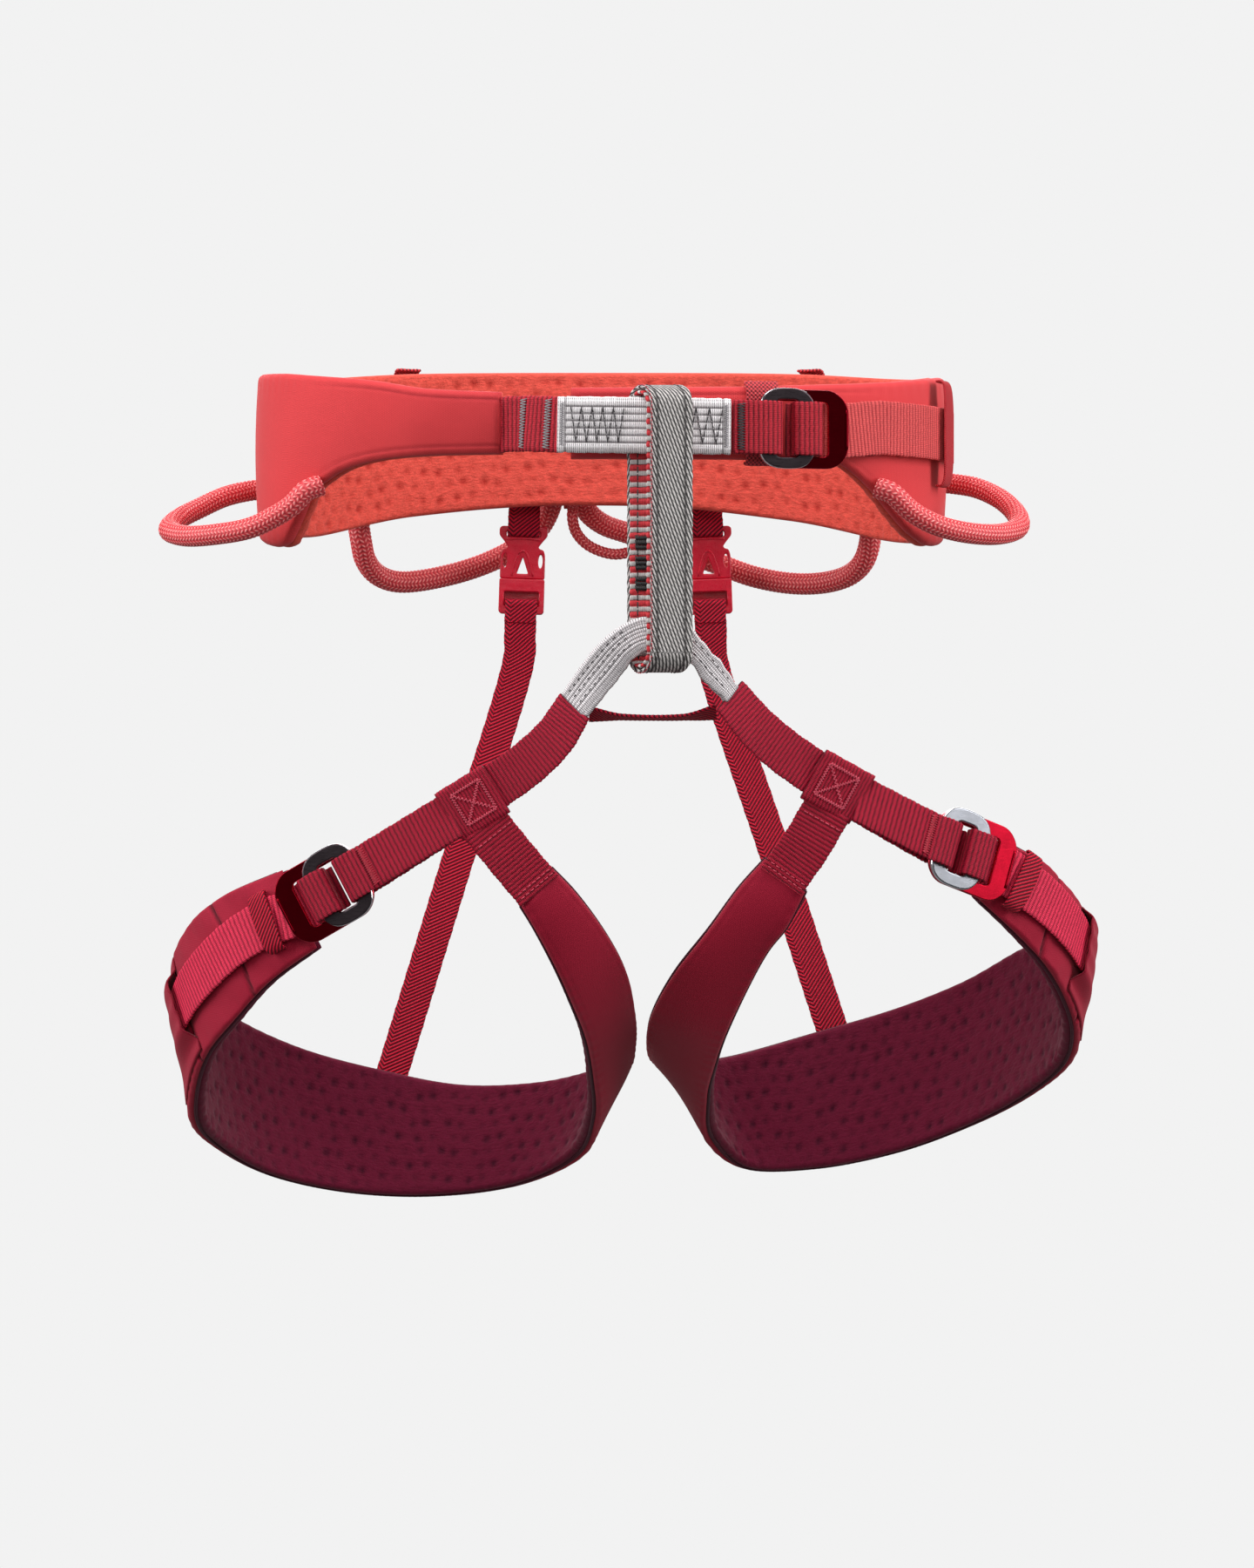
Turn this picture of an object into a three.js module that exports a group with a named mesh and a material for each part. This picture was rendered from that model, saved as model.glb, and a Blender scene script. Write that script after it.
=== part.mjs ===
// Climbing sit harness: a padded waist belt, a belay loop between two tie-in points,
// two adjustable padded leg loops, two elastic risers, four gear loops and a haul loop.
//
// Millimetres, +Z up. The wearer faces -Y, and the wearer's left is +X.
// The origin is the middle of the waist, level with the front webbing.

import * as THREE from "three";

// ---------------------------------------------------------------- driving sizes

const GAP = 0.4; // between pieces that touch

const BELT = {
  centreX: -11,
  halfWidth: 147,
  halfDepth: 103,
  squareness: 2.5, // 2 is an ellipse, more is flatter at the front and back
  startDeg: -92.5, // free end of the tongue, behind the upper tie-in
  endDeg: 258.5, // front end on the wearer's right
  steps: 50,
};

// Layers of a padded band, from its outer surface inwards.
const LAYERS = {
  shell: { depth: 0, thickness: 1.8 },
  core: { depth: 2.4, thickness: 2.4 },
  lining: { depth: 5.6, thickness: 2.4 },
  foamLining: { depth: 3.2, thickness: 4.6 }, // the leg loops' lining is laminated to its foam
};

// Angle around the belt, height of its top edge, height of its bottom edge.
const BELT_EDGES = [
  [-92.5, 16, -13],
  [-70, 17, -13],
  [-53, 19, -13.5],
  [-49, 19.5, -17],
  [-43, 20.5, -25],
  [-37, 21.5, -34],
  [-30, 23, -41.5],
  [-20, 25, -45.5],
  [0, 29, -42],
  [30, 34, -38],
  [60, 39, -27],
  [90, 40.5, -19.5],
  [120, 39, -25],
  [150, 34, -36],
  [180, 30, -39],
  [197, 27.5, -45],
  [208, 26, -45.5],
  [213, 25, -37],
  [218, 24, -25],
  [223, 23, -20],
  [228, 22, -16],
  [236, 20, -12.7],
  [246, 16.3, -11.3],
  [258.5, 14.4, -11],
];

const WEBBING = { waist: 23, leg: 20.5, thickness: 1.5 };
const ELASTIC = { width: 14.6, thickness: 1.2 };
const SLEEVE = { height: 23, thickness: 4.4 };
const LOWER_SLEEVE = { height: 14, thickness: 3.8 };
const CROSS_PATCH = { side: 21.5, thickness: 3.4 };
const SPACER = { width: 12, thickness: 1.4 };

const BELAY = {
  centre: new THREE.Vector3(13.3, -114.2, -42.5),
  height: 117,
  depth: 16.8,
  width: 17.5,
  drift: 10.4, // how far the front strand sits towards the wearer's left of the back one
  cover: 1.7,
  liner: 1.6,
};

const BUCKLE = {
  ringLength: 25,
  height: 33,
  ringThickness: 2,
  ringBar: 7.5,
  plateLength: 40,
  plateThickness: 1.8,
  plateBar: 9,
  rail: 4.4,
  plateLevel: -2.3, // middle of the plate behind the middle of the ring
  tailLevel: -4.7,
  loadLevel: -6.9,
};

const GEAR_LOOP_RADIUS = { front: 4.4, rear: 4.9, haul: 2.5 };

// ---------------------------------------------------------------- small helpers

const v = (x, y, z) => new THREE.Vector3(x, y, z);
const mix = (a, b, t) => a + (b - a) * t;
const radians = THREE.MathUtils.degToRad;

function smoothRow(table, key, column) {
  const last = table.length - 1;
  let i = 0;
  while (i < last - 1 && key > table[i + 1][0]) i += 1;
  const t = THREE.MathUtils.clamp((key - table[i][0]) / (table[i + 1][0] - table[i][0]), 0, 1);
  const slope = (k) => {
    const before = table[Math.max(k - 1, 0)];
    const after = table[Math.min(k + 1, last)];
    return (after[column] - before[column]) / (after[0] - before[0]);
  };
  const span = table[i + 1][0] - table[i][0];
  const t2 = t * t;
  const t3 = t2 * t;
  return (
    (2 * t3 - 3 * t2 + 1) * table[i][column] +
    (t3 - 2 * t2 + t) * span * slope(i) +
    (3 * t2 - 2 * t3) * table[i + 1][column] +
    (t3 - t2) * span * slope(i + 1)
  );
}

function curveThrough(points) {
  return new THREE.CatmullRomCurve3(points, false, "centripetal");
}

function signedVolume(positions, faces) {
  const a = v(0, 0, 0);
  const b = v(0, 0, 0);
  const c = v(0, 0, 0);
  let sum = 0;
  for (let i = 0; i < faces.length; i += 3) {
    a.fromArray(positions, 3 * faces[i]);
    b.fromArray(positions, 3 * faces[i + 1]);
    c.fromArray(positions, 3 * faces[i + 2]);
    sum += a.dot(b.cross(c));
  }
  return sum;
}

// A closed body through a row of rings that all have the same number of points.
// A closed row joins its last ring to its first, and an open one has flat ends. The two faces of a
// flat section are split along the same diagonals, so that layers over one another stay apart.
function loft(rings, closed = false) {
  const sides = rings[0].length;
  const positions = rings.flat().flatMap((p) => [p.x, p.y, p.z]);
  const faces = [];
  const spans = closed ? rings.length : rings.length - 1;
  for (let i = 0; i < spans; i += 1) {
    const here = i * sides;
    const next = ((i + 1) % rings.length) * sides;
    for (let j = 0; j < sides; j += 1) {
      const k = (j + 1) % sides;
      if (j < sides / 2) faces.push(here + j, here + k, next + k, here + j, next + k, next + j);
      else faces.push(here + j, here + k, next + j, here + k, next + k, next + j);
    }
  }
  if (!closed) {
    const end = (rings.length - 1) * sides;
    for (let j = 1; j < sides - 1; j += 1) {
      faces.push(0, j + 1, j, end, end + j, end + j + 1);
    }
  }
  if (signedVolume(positions, faces) < 0) faces.reverse();
  const geometry = new THREE.BufferGeometry();
  geometry.setAttribute("position", new THREE.Float32BufferAttribute(positions, 3));
  geometry.setIndex(faces);
  geometry.computeVertexNormals();
  return geometry;
}

// Flat webbing along a route. The facings are the directions its front looks in,
// spread evenly along the route. A crowding above 1 puts the stations closer at its start.
function strap({ route, facings, width, thickness, steps, crowding = 1 }) {
  const path = curveThrough(route);
  const face = facings.length > 1 ? curveThrough(facings) : null;
  const rings = [];
  for (let i = 0; i <= steps; i += 1) {
    const t = (i / steps) ** crowding;
    const centre = path.getPointAt(t);
    const along = path.getTangentAt(t);
    const front = face ? face.getPoint(t) : facings[0];
    const across = along.clone().cross(front).normalize();
    const normal = across.clone().cross(along).normalize();
    rings.push(stripSection(centre, across, normal, width, thickness));
  }
  return loft(rings);
}

function stripSection(centre, across, normal, width, thickness) {
  const corner = (a, n) =>
    centre.clone().addScaledVector(across, a * width / 2).addScaledVector(normal, n * thickness / 2);
  return [corner(-1, -1), corner(1, -1), corner(1, 1), corner(-1, 1)];
}

// Round cord or tube along a route, from one end point to the other.
function tube(route, radius, steps) {
  const section = new THREE.Shape();
  const sides = 8;
  for (let i = 0; i < sides; i += 1) {
    const turn = (i / sides) * 2 * Math.PI;
    const x = radius * Math.cos(turn);
    const y = radius * Math.sin(turn);
    if (i === 0) section.moveTo(x, y);
    else section.lineTo(x, y);
  }
  section.closePath();
  return new THREE.ExtrudeGeometry(section, { steps, extrudePath: curveThrough(route) });
}

function box(width, depth, height) {
  return new THREE.BoxGeometry(width, depth, height);
}

function roundedRect(shape, x0, y0, x1, y1, r) {
  shape.moveTo(x0 + r, y0);
  shape.lineTo(x1 - r, y0);
  shape.absarc(x1 - r, y0 + r, r, -Math.PI / 2, 0);
  shape.lineTo(x1, y1 - r);
  shape.absarc(x1 - r, y1 - r, r, 0, Math.PI / 2);
  shape.lineTo(x0 + r, y1);
  shape.absarc(x0 + r, y1 - r, r, Math.PI / 2, Math.PI);
  shape.lineTo(x0, y0 + r);
  shape.absarc(x0 + r, y0 + r, r, Math.PI, 1.5 * Math.PI);
  return shape;
}

function plateWithHoles(outline, holes, thickness) {
  outline.holes.push(...holes);
  const geometry = new THREE.ExtrudeGeometry(outline, {
    depth: thickness,
    bevelEnabled: false,
    curveSegments: 4,
  });
  geometry.translate(0, 0, -thickness / 2);
  return geometry;
}

// ---------------------------------------------------------------- finishes

function finish(color, roughness, metalness = 0) {
  return new THREE.MeshStandardMaterial({ color, roughness, metalness });
}

const FINISH = {
  beltShell: finish(0xe24a4e, 0.8),
  beltLining: finish(0xf0644a, 0.9),
  foam: finish(0xd8d4cc, 0.95),
  coralWebbing: finish(0xd8444e, 0.75),
  redWebbing: finish(0xb02040, 0.75),
  tieIn: finish(0xbcb8b6, 0.7),
  striped: finish(0xc8646a, 0.7),
  legShell: finish(0x961a36, 0.8),
  legLining: finish(0x641f33, 0.9),
  elastic: finish(0xc01c3c, 0.8),
  cord: finish(0xdc4c50, 0.7),
  plastic: finish(0xc81c3c, 0.35),
  steel: finish(0x8c8c90, 0.3, 1),
  anodized: finish(0x7a1020, 0.3, 0.8),
};

const harness = new THREE.Group();

function add(name, geometry, material, parent = harness) {
  const mesh = new THREE.Mesh(geometry, material);
  mesh.name = name;
  parent.add(mesh);
  return mesh;
}

// ---------------------------------------------------------------- waist belt

function beltPoint(degrees, outset, height) {
  const turn = radians(degrees);
  const power = 2 / BELT.squareness;
  const cos = Math.cos(turn);
  const sin = Math.sin(turn);
  const x = Math.sign(cos) * Math.abs(cos) ** power;
  const y = Math.sign(sin) * Math.abs(sin) ** power;
  const normal = v(
    (Math.sign(cos) * Math.abs(x) ** (BELT.squareness - 1)) / BELT.halfWidth,
    (Math.sign(sin) * Math.abs(y) ** (BELT.squareness - 1)) / BELT.halfDepth,
    0,
  ).normalize();
  return v(BELT.centreX + BELT.halfWidth * x, BELT.halfDepth * y, height).addScaledVector(normal, outset);
}

const beltTop = (degrees) => smoothRow(BELT_EDGES, degrees, 1);
const beltBottom = (degrees) => smoothRow(BELT_EDGES, degrees, 2);

function beltBand({ depth, thickness }, margin, skippedSteps) {
  const crown = 1.2;
  const rings = [];
  for (let i = skippedSteps; i <= BELT.steps - skippedSteps; i += 1) {
    const degrees = mix(BELT.startDeg, BELT.endDeg, i / BELT.steps);
    const top = beltTop(degrees) - margin;
    const bottom = beltBottom(degrees) + margin;
    const middle = (top + bottom) / 2;
    const outer = -depth;
    const inner = -depth - thickness;
    rings.push([
      beltPoint(degrees, outer, top),
      beltPoint(degrees, outer + crown, middle),
      beltPoint(degrees, outer, bottom),
      beltPoint(degrees, inner, bottom),
      beltPoint(degrees, inner + crown, middle),
      beltPoint(degrees, inner, top),
    ]);
  }
  return loft(rings);
}

function waistBelt() {
  add("belt_shell", beltBand(LAYERS.shell, 0, 0), FINISH.beltShell);
  add("belt_core", beltBand(LAYERS.core, 3, 1), FINISH.foam);
  add("belt_lining", beltBand(LAYERS.lining, 0.6, 0), FINISH.beltLining);
}

// Two webbing tabs sewn over the top edge at the back, where the shell is slotted.
function toolTab(name, degrees) {
  const outset = 1.3;
  const height = beltTop(degrees) - 12;
  const route = [
    beltPoint(degrees, outset + 1.2, height),
    beltPoint(degrees, outset + 0.6, height + 11.2),
    beltPoint(degrees, outset - 2, height + 14),
  ];
  const outward = beltPoint(degrees, 1, 0).sub(beltPoint(degrees, 0, 0));
  const facings = [outward, outward.clone().add(v(0, 0, 0.9)), outward.clone().add(v(0, 0, 3))];
  add(name, strap({ route, facings, width: 12, thickness: 1.2, steps: 6 }), FINISH.coralWebbing);
}

// ---------------------------------------------------------------- tie-in points and belay loop

function upperTieIn() {
  const front = v(0, -1, 0);
  const webbingRoute = [v(-50.4, -100.4, 1), v(-43, -104, 1), v(-36, -109, 0.5), v(-29.9, -112.2, 0)];
  add(
    "front_webbing_right",
    strap({ route: webbingRoute, facings: [front], width: WEBBING.waist, thickness: 2.8, steps: 6 }),
    FINISH.redWebbing,
  );
  const sleeveRoute = [v(-28.2, -112.8, 0), v(-8, -114, -0.3), v(14, -114.3, -0.6), v(42, -111.6, -0.8)];
  add(
    "upper_tie_in_sleeve",
    strap({
      route: sleeveRoute,
      facings: [front],
      width: SLEEVE.height,
      thickness: SLEEVE.thickness,
      steps: 8,
    }),
    FINISH.tieIn,
  );
}

function lowerTieIn() {
  const route = [
    v(-21.6, -104.5, -114.2),
    v(-11, -109.6, -100.3),
    v(-2, -113, -90),
    v(5.5, -114.2, -85.6),
    v(13.3, -114.2, -84.8),
    v(21, -114, -86.4),
    v(27.8, -112.6, -92),
    v(35, -109.6, -100.6),
    v(42.6, -105.2, -109.6),
  ];
  const facings = [v(-0.3, -1, 0.4), v(0, -1, 0.1), v(0, -1, 0.1), v(0.5, -1, 0.4)];
  add(
    "lower_tie_in_sleeve",
    strap({
      route,
      facings,
      width: LOWER_SLEEVE.height,
      thickness: LOWER_SLEEVE.thickness,
      steps: 14,
    }),
    FINISH.tieIn,
  );
  const spacerRoute = [v(-15.5, -98.6, -117.4), v(-2, -99, -118.6), v(24, -99, -118.6), v(36.5, -98.6, -116.6)];
  add(
    "leg_spacer_strap",
    strap({
      route: spacerRoute,
      facings: [v(0, -0.35, -1)],
      width: SPACER.width,
      thickness: SPACER.thickness,
      steps: 8,
    }),
    FINISH.redWebbing,
  );
}

// One ply of the belay loop: a flat loop whose strands run down in front of and behind the
// tie-in points, with half-round turns over the top and under the bottom.
function belayPly(inset, thickness) {
  const half = BELAY.depth / 2 - inset - thickness / 2;
  const straight = BELAY.height / 2 - BELAY.depth / 2;
  const turnSteps = 6;
  const strandSteps = 4;
  const rings = [];
  const station = (y, z, outward) => {
    const sideways = (-y / (BELAY.depth / 2)) * (BELAY.drift / 2);
    const centre = BELAY.centre.clone().add(v(sideways, y, z));
    rings.push(stripSection(centre, v(1, 0, 0), outward, BELAY.width, thickness));
  };
  for (let i = 0; i < turnSteps; i += 1) {
    const turn = (i / turnSteps) * Math.PI;
    const outward = v(0, -Math.cos(turn), Math.sin(turn));
    station(half * outward.y, straight + half * outward.z, outward);
  }
  for (let i = 0; i < strandSteps; i += 1) {
    station(half, mix(straight, -straight, i / strandSteps), v(0, 1, 0));
  }
  for (let i = 0; i < turnSteps; i += 1) {
    const turn = (i / turnSteps) * Math.PI;
    const outward = v(0, Math.cos(turn), -Math.sin(turn));
    station(half * outward.y, -straight + half * outward.z, outward);
  }
  for (let i = 0; i < strandSteps; i += 1) {
    station(-half, mix(-straight, straight, i / strandSteps), v(0, -1, 0));
  }
  return loft(rings, true);
}

function belayLoop() {
  add("belay_loop_cover", belayPly(0, BELAY.cover), FINISH.tieIn);
  add("belay_loop_liner", belayPly(BELAY.cover + GAP, BELAY.liner), FINISH.striped);
}

// ---------------------------------------------------------------- double-back buckles

// A buckle's own directions: s runs along the strap away from the middle of the wearer,
// n looks out from the body, and w lies across the strap.
function buckleFrame(centre, alongStrap, outwards) {
  const s = alongStrap.clone().normalize();
  const w = outwards.clone().cross(s).normalize();
  const n = s.clone().cross(w).normalize();
  const at = (along, out, across = 0) =>
    centre.clone().addScaledVector(s, along).addScaledVector(n, out).addScaledVector(w, across);
  const matrix = new THREE.Matrix4().makeBasis(s, w, n).setPosition(centre);
  return { s, w, n, at, matrix };
}

function buckleRing() {
  const l = BUCKLE.ringLength / 2;
  const h = BUCKLE.height / 2;
  const outline = roundedRect(new THREE.Shape(), -l, -h, l, h, 8);
  const window = roundedRect(
    new THREE.Path(), -l + BUCKLE.ringBar, -h + BUCKLE.rail, l - BUCKLE.ringBar, h - BUCKLE.rail, 2,
  );
  return plateWithHoles(outline, [window], BUCKLE.ringThickness);
}

function bucklePlate() {
  const start = -BUCKLE.ringLength / 2;
  const end = start + BUCKLE.plateLength;
  const h = BUCKLE.height / 2 - 0.4;
  const chamfer = 7;
  const outline = new THREE.Shape();
  outline.moveTo(start + chamfer, -h);
  outline.lineTo(end - chamfer, -h);
  outline.lineTo(end, -h + chamfer);
  outline.lineTo(end, h - chamfer);
  outline.lineTo(end - chamfer, h);
  outline.lineTo(start + chamfer, h);
  outline.lineTo(start, h - chamfer);
  outline.lineTo(start, -h + chamfer);
  outline.closePath();
  const window = roundedRect(
    new THREE.Path(),
    start + BUCKLE.ringBar, -h + BUCKLE.rail, end - BUCKLE.plateBar, h - BUCKLE.rail, 2,
  );
  return plateWithHoles(outline, [window], BUCKLE.plateThickness);
}

// The adjusting strap where it comes up through the window, over the ring's far bar and down again.
function strapFold(frame, width) {
  const near = BUCKLE.ringLength / 2 - BUCKLE.ringBar - 1.7;
  const far = BUCKLE.ringLength / 2 + 1.9;
  const low = -3.2;
  const high = 2.3;
  const route = [
    frame.at(near, low),
    frame.at(near, high - 1.4),
    frame.at(near + 1.4, high),
    frame.at(far - 1.4, high),
    frame.at(far, high - 1.4),
    frame.at(far, low),
  ];
  const facings = [frame.s.clone().negate(), frame.n, frame.s];
  const leaning = facings.map((d, i) => d.clone().addScaledVector(frame.n, i === 1 ? 0 : 0.5));
  return strap({ route, facings: leaning, width, thickness: 1.3, steps: 10 });
}

// Webbing that runs to the buckle, round its near bars and back under itself.
function anchorWebbing(frame, start, width) {
  const bar = -BUCKLE.ringLength / 2 + BUCKLE.ringBar / 2;
  const reach = BUCKLE.ringBar / 2 + 2.4;
  const top = BUCKLE.ringThickness / 2 + 2.1;
  const low = BUCKLE.plateLevel - BUCKLE.plateThickness / 2 - 2.2;
  const half = (top - low) / 2;
  const middle = (top + low) / 2;
  const steps = 6;
  const squareTurn = 0.75; // below 1 the turn round the bar is squarer than an ellipse
  const rings = [];
  const ply = (centre, outward) => {
    rings.push(stripSection(centre, frame.w, outward, width, WEBBING.thickness));
  };
  ply(start.clone().addScaledVector(frame.n, 0.9), frame.n);
  ply(frame.at(bar - 5, top - 0.6), frame.n);
  for (let i = 0; i <= steps; i += 1) {
    const turn = (i / steps) * Math.PI;
    const cos = Math.cos(turn);
    const sin = Math.sin(turn);
    const outward = frame.n.clone().multiplyScalar(cos).addScaledVector(frame.s, sin);
    const along = reach * Math.abs(sin) ** squareTurn;
    const out = half * Math.sign(cos) * Math.abs(cos) ** squareTurn;
    ply(frame.at(bar + along, middle + out), outward);
  }
  ply(frame.at(bar - 5, low + 0.6), frame.n.clone().negate());
  ply(start.clone().addScaledVector(frame.n, -0.9), frame.n.clone().negate());
  return loft(rings);
}

// A short elastic band that holds the tail down, with both ends turned in to the padding.
function keeper(centre, along, outward, across, lift, length) {
  const reach = across / 2 + 1.4;
  const side = along.clone().cross(outward).normalize();
  const at = (a, n) => centre.clone().addScaledVector(side, a).addScaledVector(outward, n);
  const route = [
    at(-reach, lift - 3),
    at(-reach, lift - 0.8),
    at(-reach + 1.2, lift),
    at(reach - 1.2, lift),
    at(reach, lift - 0.8),
    at(reach, lift - 3),
  ];
  const facings = [side.clone().negate(), outward.clone(), side.clone()];
  return strap({ route, facings, width: length, thickness: 1, steps: 10 });
}

function addBuckle(prefix, frame, width) {
  add(`${prefix}_buckle_ring`, buckleRing(), FINISH.steel).applyMatrix4(frame.matrix);
  const plate = add(`${prefix}_buckle_plate`, bucklePlate(), FINISH.anodized);
  plate.applyMatrix4(frame.matrix);
  plate.position.addScaledVector(frame.n, BUCKLE.plateLevel);
  add(`${prefix}_strap_fold`, strapFold(frame, width), FINISH.redWebbing);
}

function waistBuckle() {
  const frame = buckleFrame(v(65.3, -105.4, -1), v(0.951, 0.309, 0), v(0.309, -0.951, 0));
  addBuckle("waist", frame, WEBBING.waist - 1);
  add(
    "buckle_anchor_webbing",
    anchorWebbing(frame, v(43.1, -111.6, -0.8), WEBBING.waist - 1),
    FINISH.redWebbing,
  );
  const tailTurns = [-44, -37, -30, -23, -16, -10];
  const tailRoute = [
    frame.at(8, BUCKLE.tailLevel),
    frame.at(24.5, BUCKLE.tailLevel),
    ...tailTurns.map((degrees) => beltPoint(degrees, 4.2, 1.2)),
  ];
  const outwardAt = (degrees) => beltPoint(degrees, 1, 0).sub(beltPoint(degrees, 0, 0));
  add(
    "waist_strap_tail",
    strap({
      route: tailRoute,
      facings: [frame.n, outwardAt(-44), outwardAt(-30), outwardAt(-10)],
      width: WEBBING.waist - 0.5,
      thickness: WEBBING.thickness,
      steps: 16,
    }),
    FINISH.coralWebbing,
  );
  const strapRoute = [frame.at(2, BUCKLE.loadLevel), frame.at(20, BUCKLE.loadLevel - 0.6), beltPoint(-45, 2.2, 0.4)];
  add(
    "waist_strap",
    strap({ route: strapRoute, facings: [frame.n], width: WEBBING.waist - 1, thickness: 1.2, steps: 5 }),
    FINISH.redWebbing,
  );
  const degrees = -20;
  const outward = outwardAt(degrees);
  const along = v(0, 0, 1).cross(outward).normalize();
  add(
    "waist_strap_keeper",
    keeper(beltPoint(degrees, 0, 1.5), along, outward, WEBBING.waist + 18, 6.4, 11),
    FINISH.elastic,
  );
}

// ---------------------------------------------------------------- leg loops

// Each row is a station along the padded band, from its tab at the front of the thigh, down the
// inside, across the back and up the outside to its buckle end: the upper edge, then the lower.
const LEG_STATIONS = {
  right: [
    [v(-30.4, -92, -180.7), v(-42.9, -93, -196.8)],
    [v(-20.1, -88, -191.9), v(-35.9, -88, -209.1)],
    [v(-8.3, -74, -208.2), v(-28.1, -78, -224.2)],
    [v(0.3, -55, -225.2), v(-21.8, -62, -239.5)],
    [v(4, -30, -243), v(-16.5, -42, -254.1)],
    [v(4.6, 0, -258), v(-13.1, -12, -273)],
    [v(1.2, 35, -269.3), v(-12.2, 22, -293.6)],
    [v(-11.7, 66, -275.9), v(-20.1, 54, -312.3)],
    [v(-37.3, 84, -281.8), v(-46.8, 72, -325.9)],
    [v(-74.9, 92, -283.2), v(-86.1, 78, -331.5)],
    [v(-114.1, 88, -275.5), v(-126.8, 72, -329)],
    [v(-146.6, 76, -266), v(-160.6, 56, -319.8)],
    [v(-174.6, 52, -252.2), v(-181.4, 30, -305.6)],
    [v(-189.6, 24, -238.5), v(-188.9, 5, -293)],
    [v(-195.5, 0, -228.7), v(-186.5, -18, -276)],
    [v(-194, -18, -218.6), v(-179.1, -38, -260)],
    [v(-185.5, -36, -204.8), v(-166.6, -54, -245.7)],
    [v(-170.2, -52, -192.9), v(-150.3, -66, -228.8)],
    [v(-144.3, -68, -181.9), v(-129.2, -76, -213.9)],
  ],
  left: [
    [v(56.5, -92, -176.8), v(72.9, -93, -190.7)],
    [v(45.9, -88, -189), v(66, -88, -204.8)],
    [v(33.2, -76, -207.4), v(57.7, -78, -216.7)],
    [v(20, -58, -225.5), v(49.5, -62, -233.3)],
    [v(10.6, -32, -243.2), v(41.5, -42, -251.9)],
    [v(7.8, 0, -256.9), v(36.6, -14, -268.4)],
    [v(10.6, 35, -267), v(33.4, 18, -285)],
    [v(23.3, 66, -271.6), v(35.1, 50, -304.2)],
    [v(45.1, 82, -269.5), v(50.7, 72, -318.3)],
    [v(85.5, 90, -259), v(84.9, 78, -319)],
    [v(121.8, 86, -248.2), v(125, 74, -310.5)],
    [v(154.1, 72, -235), v(156.9, 58, -297.1)],
    [v(180, 48, -219.2), v(178.7, 34, -283)],
    [v(194.6, 20, -212), v(192.5, 6, -267)],
    [v(198.6, -5, -207.6), v(193.4, -18, -252.1)],
    [v(194.8, -26, -198.8), v(187.3, -37, -237.2)],
    [v(185.4, -43, -187.9), v(177, -54, -222.1)],
    [v(174.7, -57, -178.4), v(162.7, -66, -207.9)],
    [v(162.6, -68, -172.3), v(145.6, -76, -193)],
  ],
};

const LEG_STEPS = 34;

// The padded band's outer surface: a point and its outward normal, at a place along the band
// (0 at the tab, 1 at the buckle end) and across it (0 at the lower edge, 1 at the upper).
function legSurface(side) {
  const upper = curveThrough(LEG_STATIONS[side].map((row) => row[0]));
  const lower = curveThrough(LEG_STATIONS[side].map((row) => row[1]));
  const flip = side === "right" ? 1 : -1;
  const step = 0.01;
  const onBand = (along, share) => lower.getPoint(along).lerp(upper.getPoint(along), share);
  const frameAt = (along, share = 0.5) => {
    const before = onBand(Math.max(along - step, 0), share);
    const after = onBand(Math.min(along + step, 1), share);
    const tangent = after.sub(before).normalize();
    const top = upper.getPoint(along);
    const bottom = lower.getPoint(along);
    const across = top.clone().sub(bottom).normalize();
    const outward = tangent.clone().cross(across).multiplyScalar(flip).normalize();
    return { top, bottom, tangent, across, outward };
  };
  const pointAt = (along, share, outset) =>
    onBand(along, share).addScaledVector(frameAt(along, share).outward, outset);
  return { frameAt, pointAt };
}

function legBand(surface, { depth, thickness }, margin) {
  const crown = 1.4;
  const rings = [];
  for (let i = 0; i <= LEG_STEPS; i += 1) {
    const along = i / LEG_STEPS;
    const { top, bottom } = surface.frameAt(along);
    const share = margin / top.distanceTo(bottom);
    const at = (across, outset) => surface.pointAt(along, across, outset);
    rings.push([
      at(1 - share, -depth),
      at(0.5, crown - depth),
      at(share, -depth),
      at(share, -depth - thickness),
      at(0.5, crown - depth - thickness),
      at(1 - share, -depth - thickness),
    ]);
  }
  return loft(rings);
}

const LEG_RIG = {
  right: {
    webbing: [v(-22.6, -104.6, -116.2), v(-29.5, -101.6, -126.8), v(-41.5, -98.6, -138.2), v(-53.4, -96.4, -146.6)],
    webbingFacings: [v(-0.45, -0.85, 0.3), v(-0.25, -1, 0.1), v(0, -1, 0)],
    patch: v(-63.4, -95.8, -153.8),
    patchAlong: v(-0.85, 0.06, -0.52),
    tab: [v(-56.6, -95.8, -164.8), v(-47.6, -94.8, -176), v(-39.4, -93.6, -185.8)],
    ring: v(-119.2, -87.6, -187.6),
    ringAlong: v(-0.84, 0.24, -0.485),
    ringOutwards: v(-0.28, -0.96, 0),
    tailTurns: [0.975, 0.94, 0.9, 0.86, 0.82],
    tailShare: 0.5,
  },
  left: {
    webbing: [v(43.4, -105.2, -111.6), v(52.8, -101.8, -122.6), v(64, -98.4, -132.4), v(76, -96.6, -140.8)],
    webbingFacings: [v(0.5, -0.85, 0.25), v(0.3, -1, 0.1), v(0.1, -1, 0)],
    patch: v(86.4, -95.6, -147.2),
    patchAlong: v(0.87, 0.12, -0.48),
    tab: [v(81, -95.6, -158.2), v(73.6, -94.8, -171), v(66.2, -93.6, -181.6)],
    ring: v(137.2, -90.4, -172.6),
    ringAlong: v(0.84, 0.43, -0.33),
    ringOutwards: v(0.45, -0.89, 0.05),
    tailTurns: [0.973, 0.945, 0.91, 0.87, 0.83],
    tailShare: 0.55,
  },
};

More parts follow.
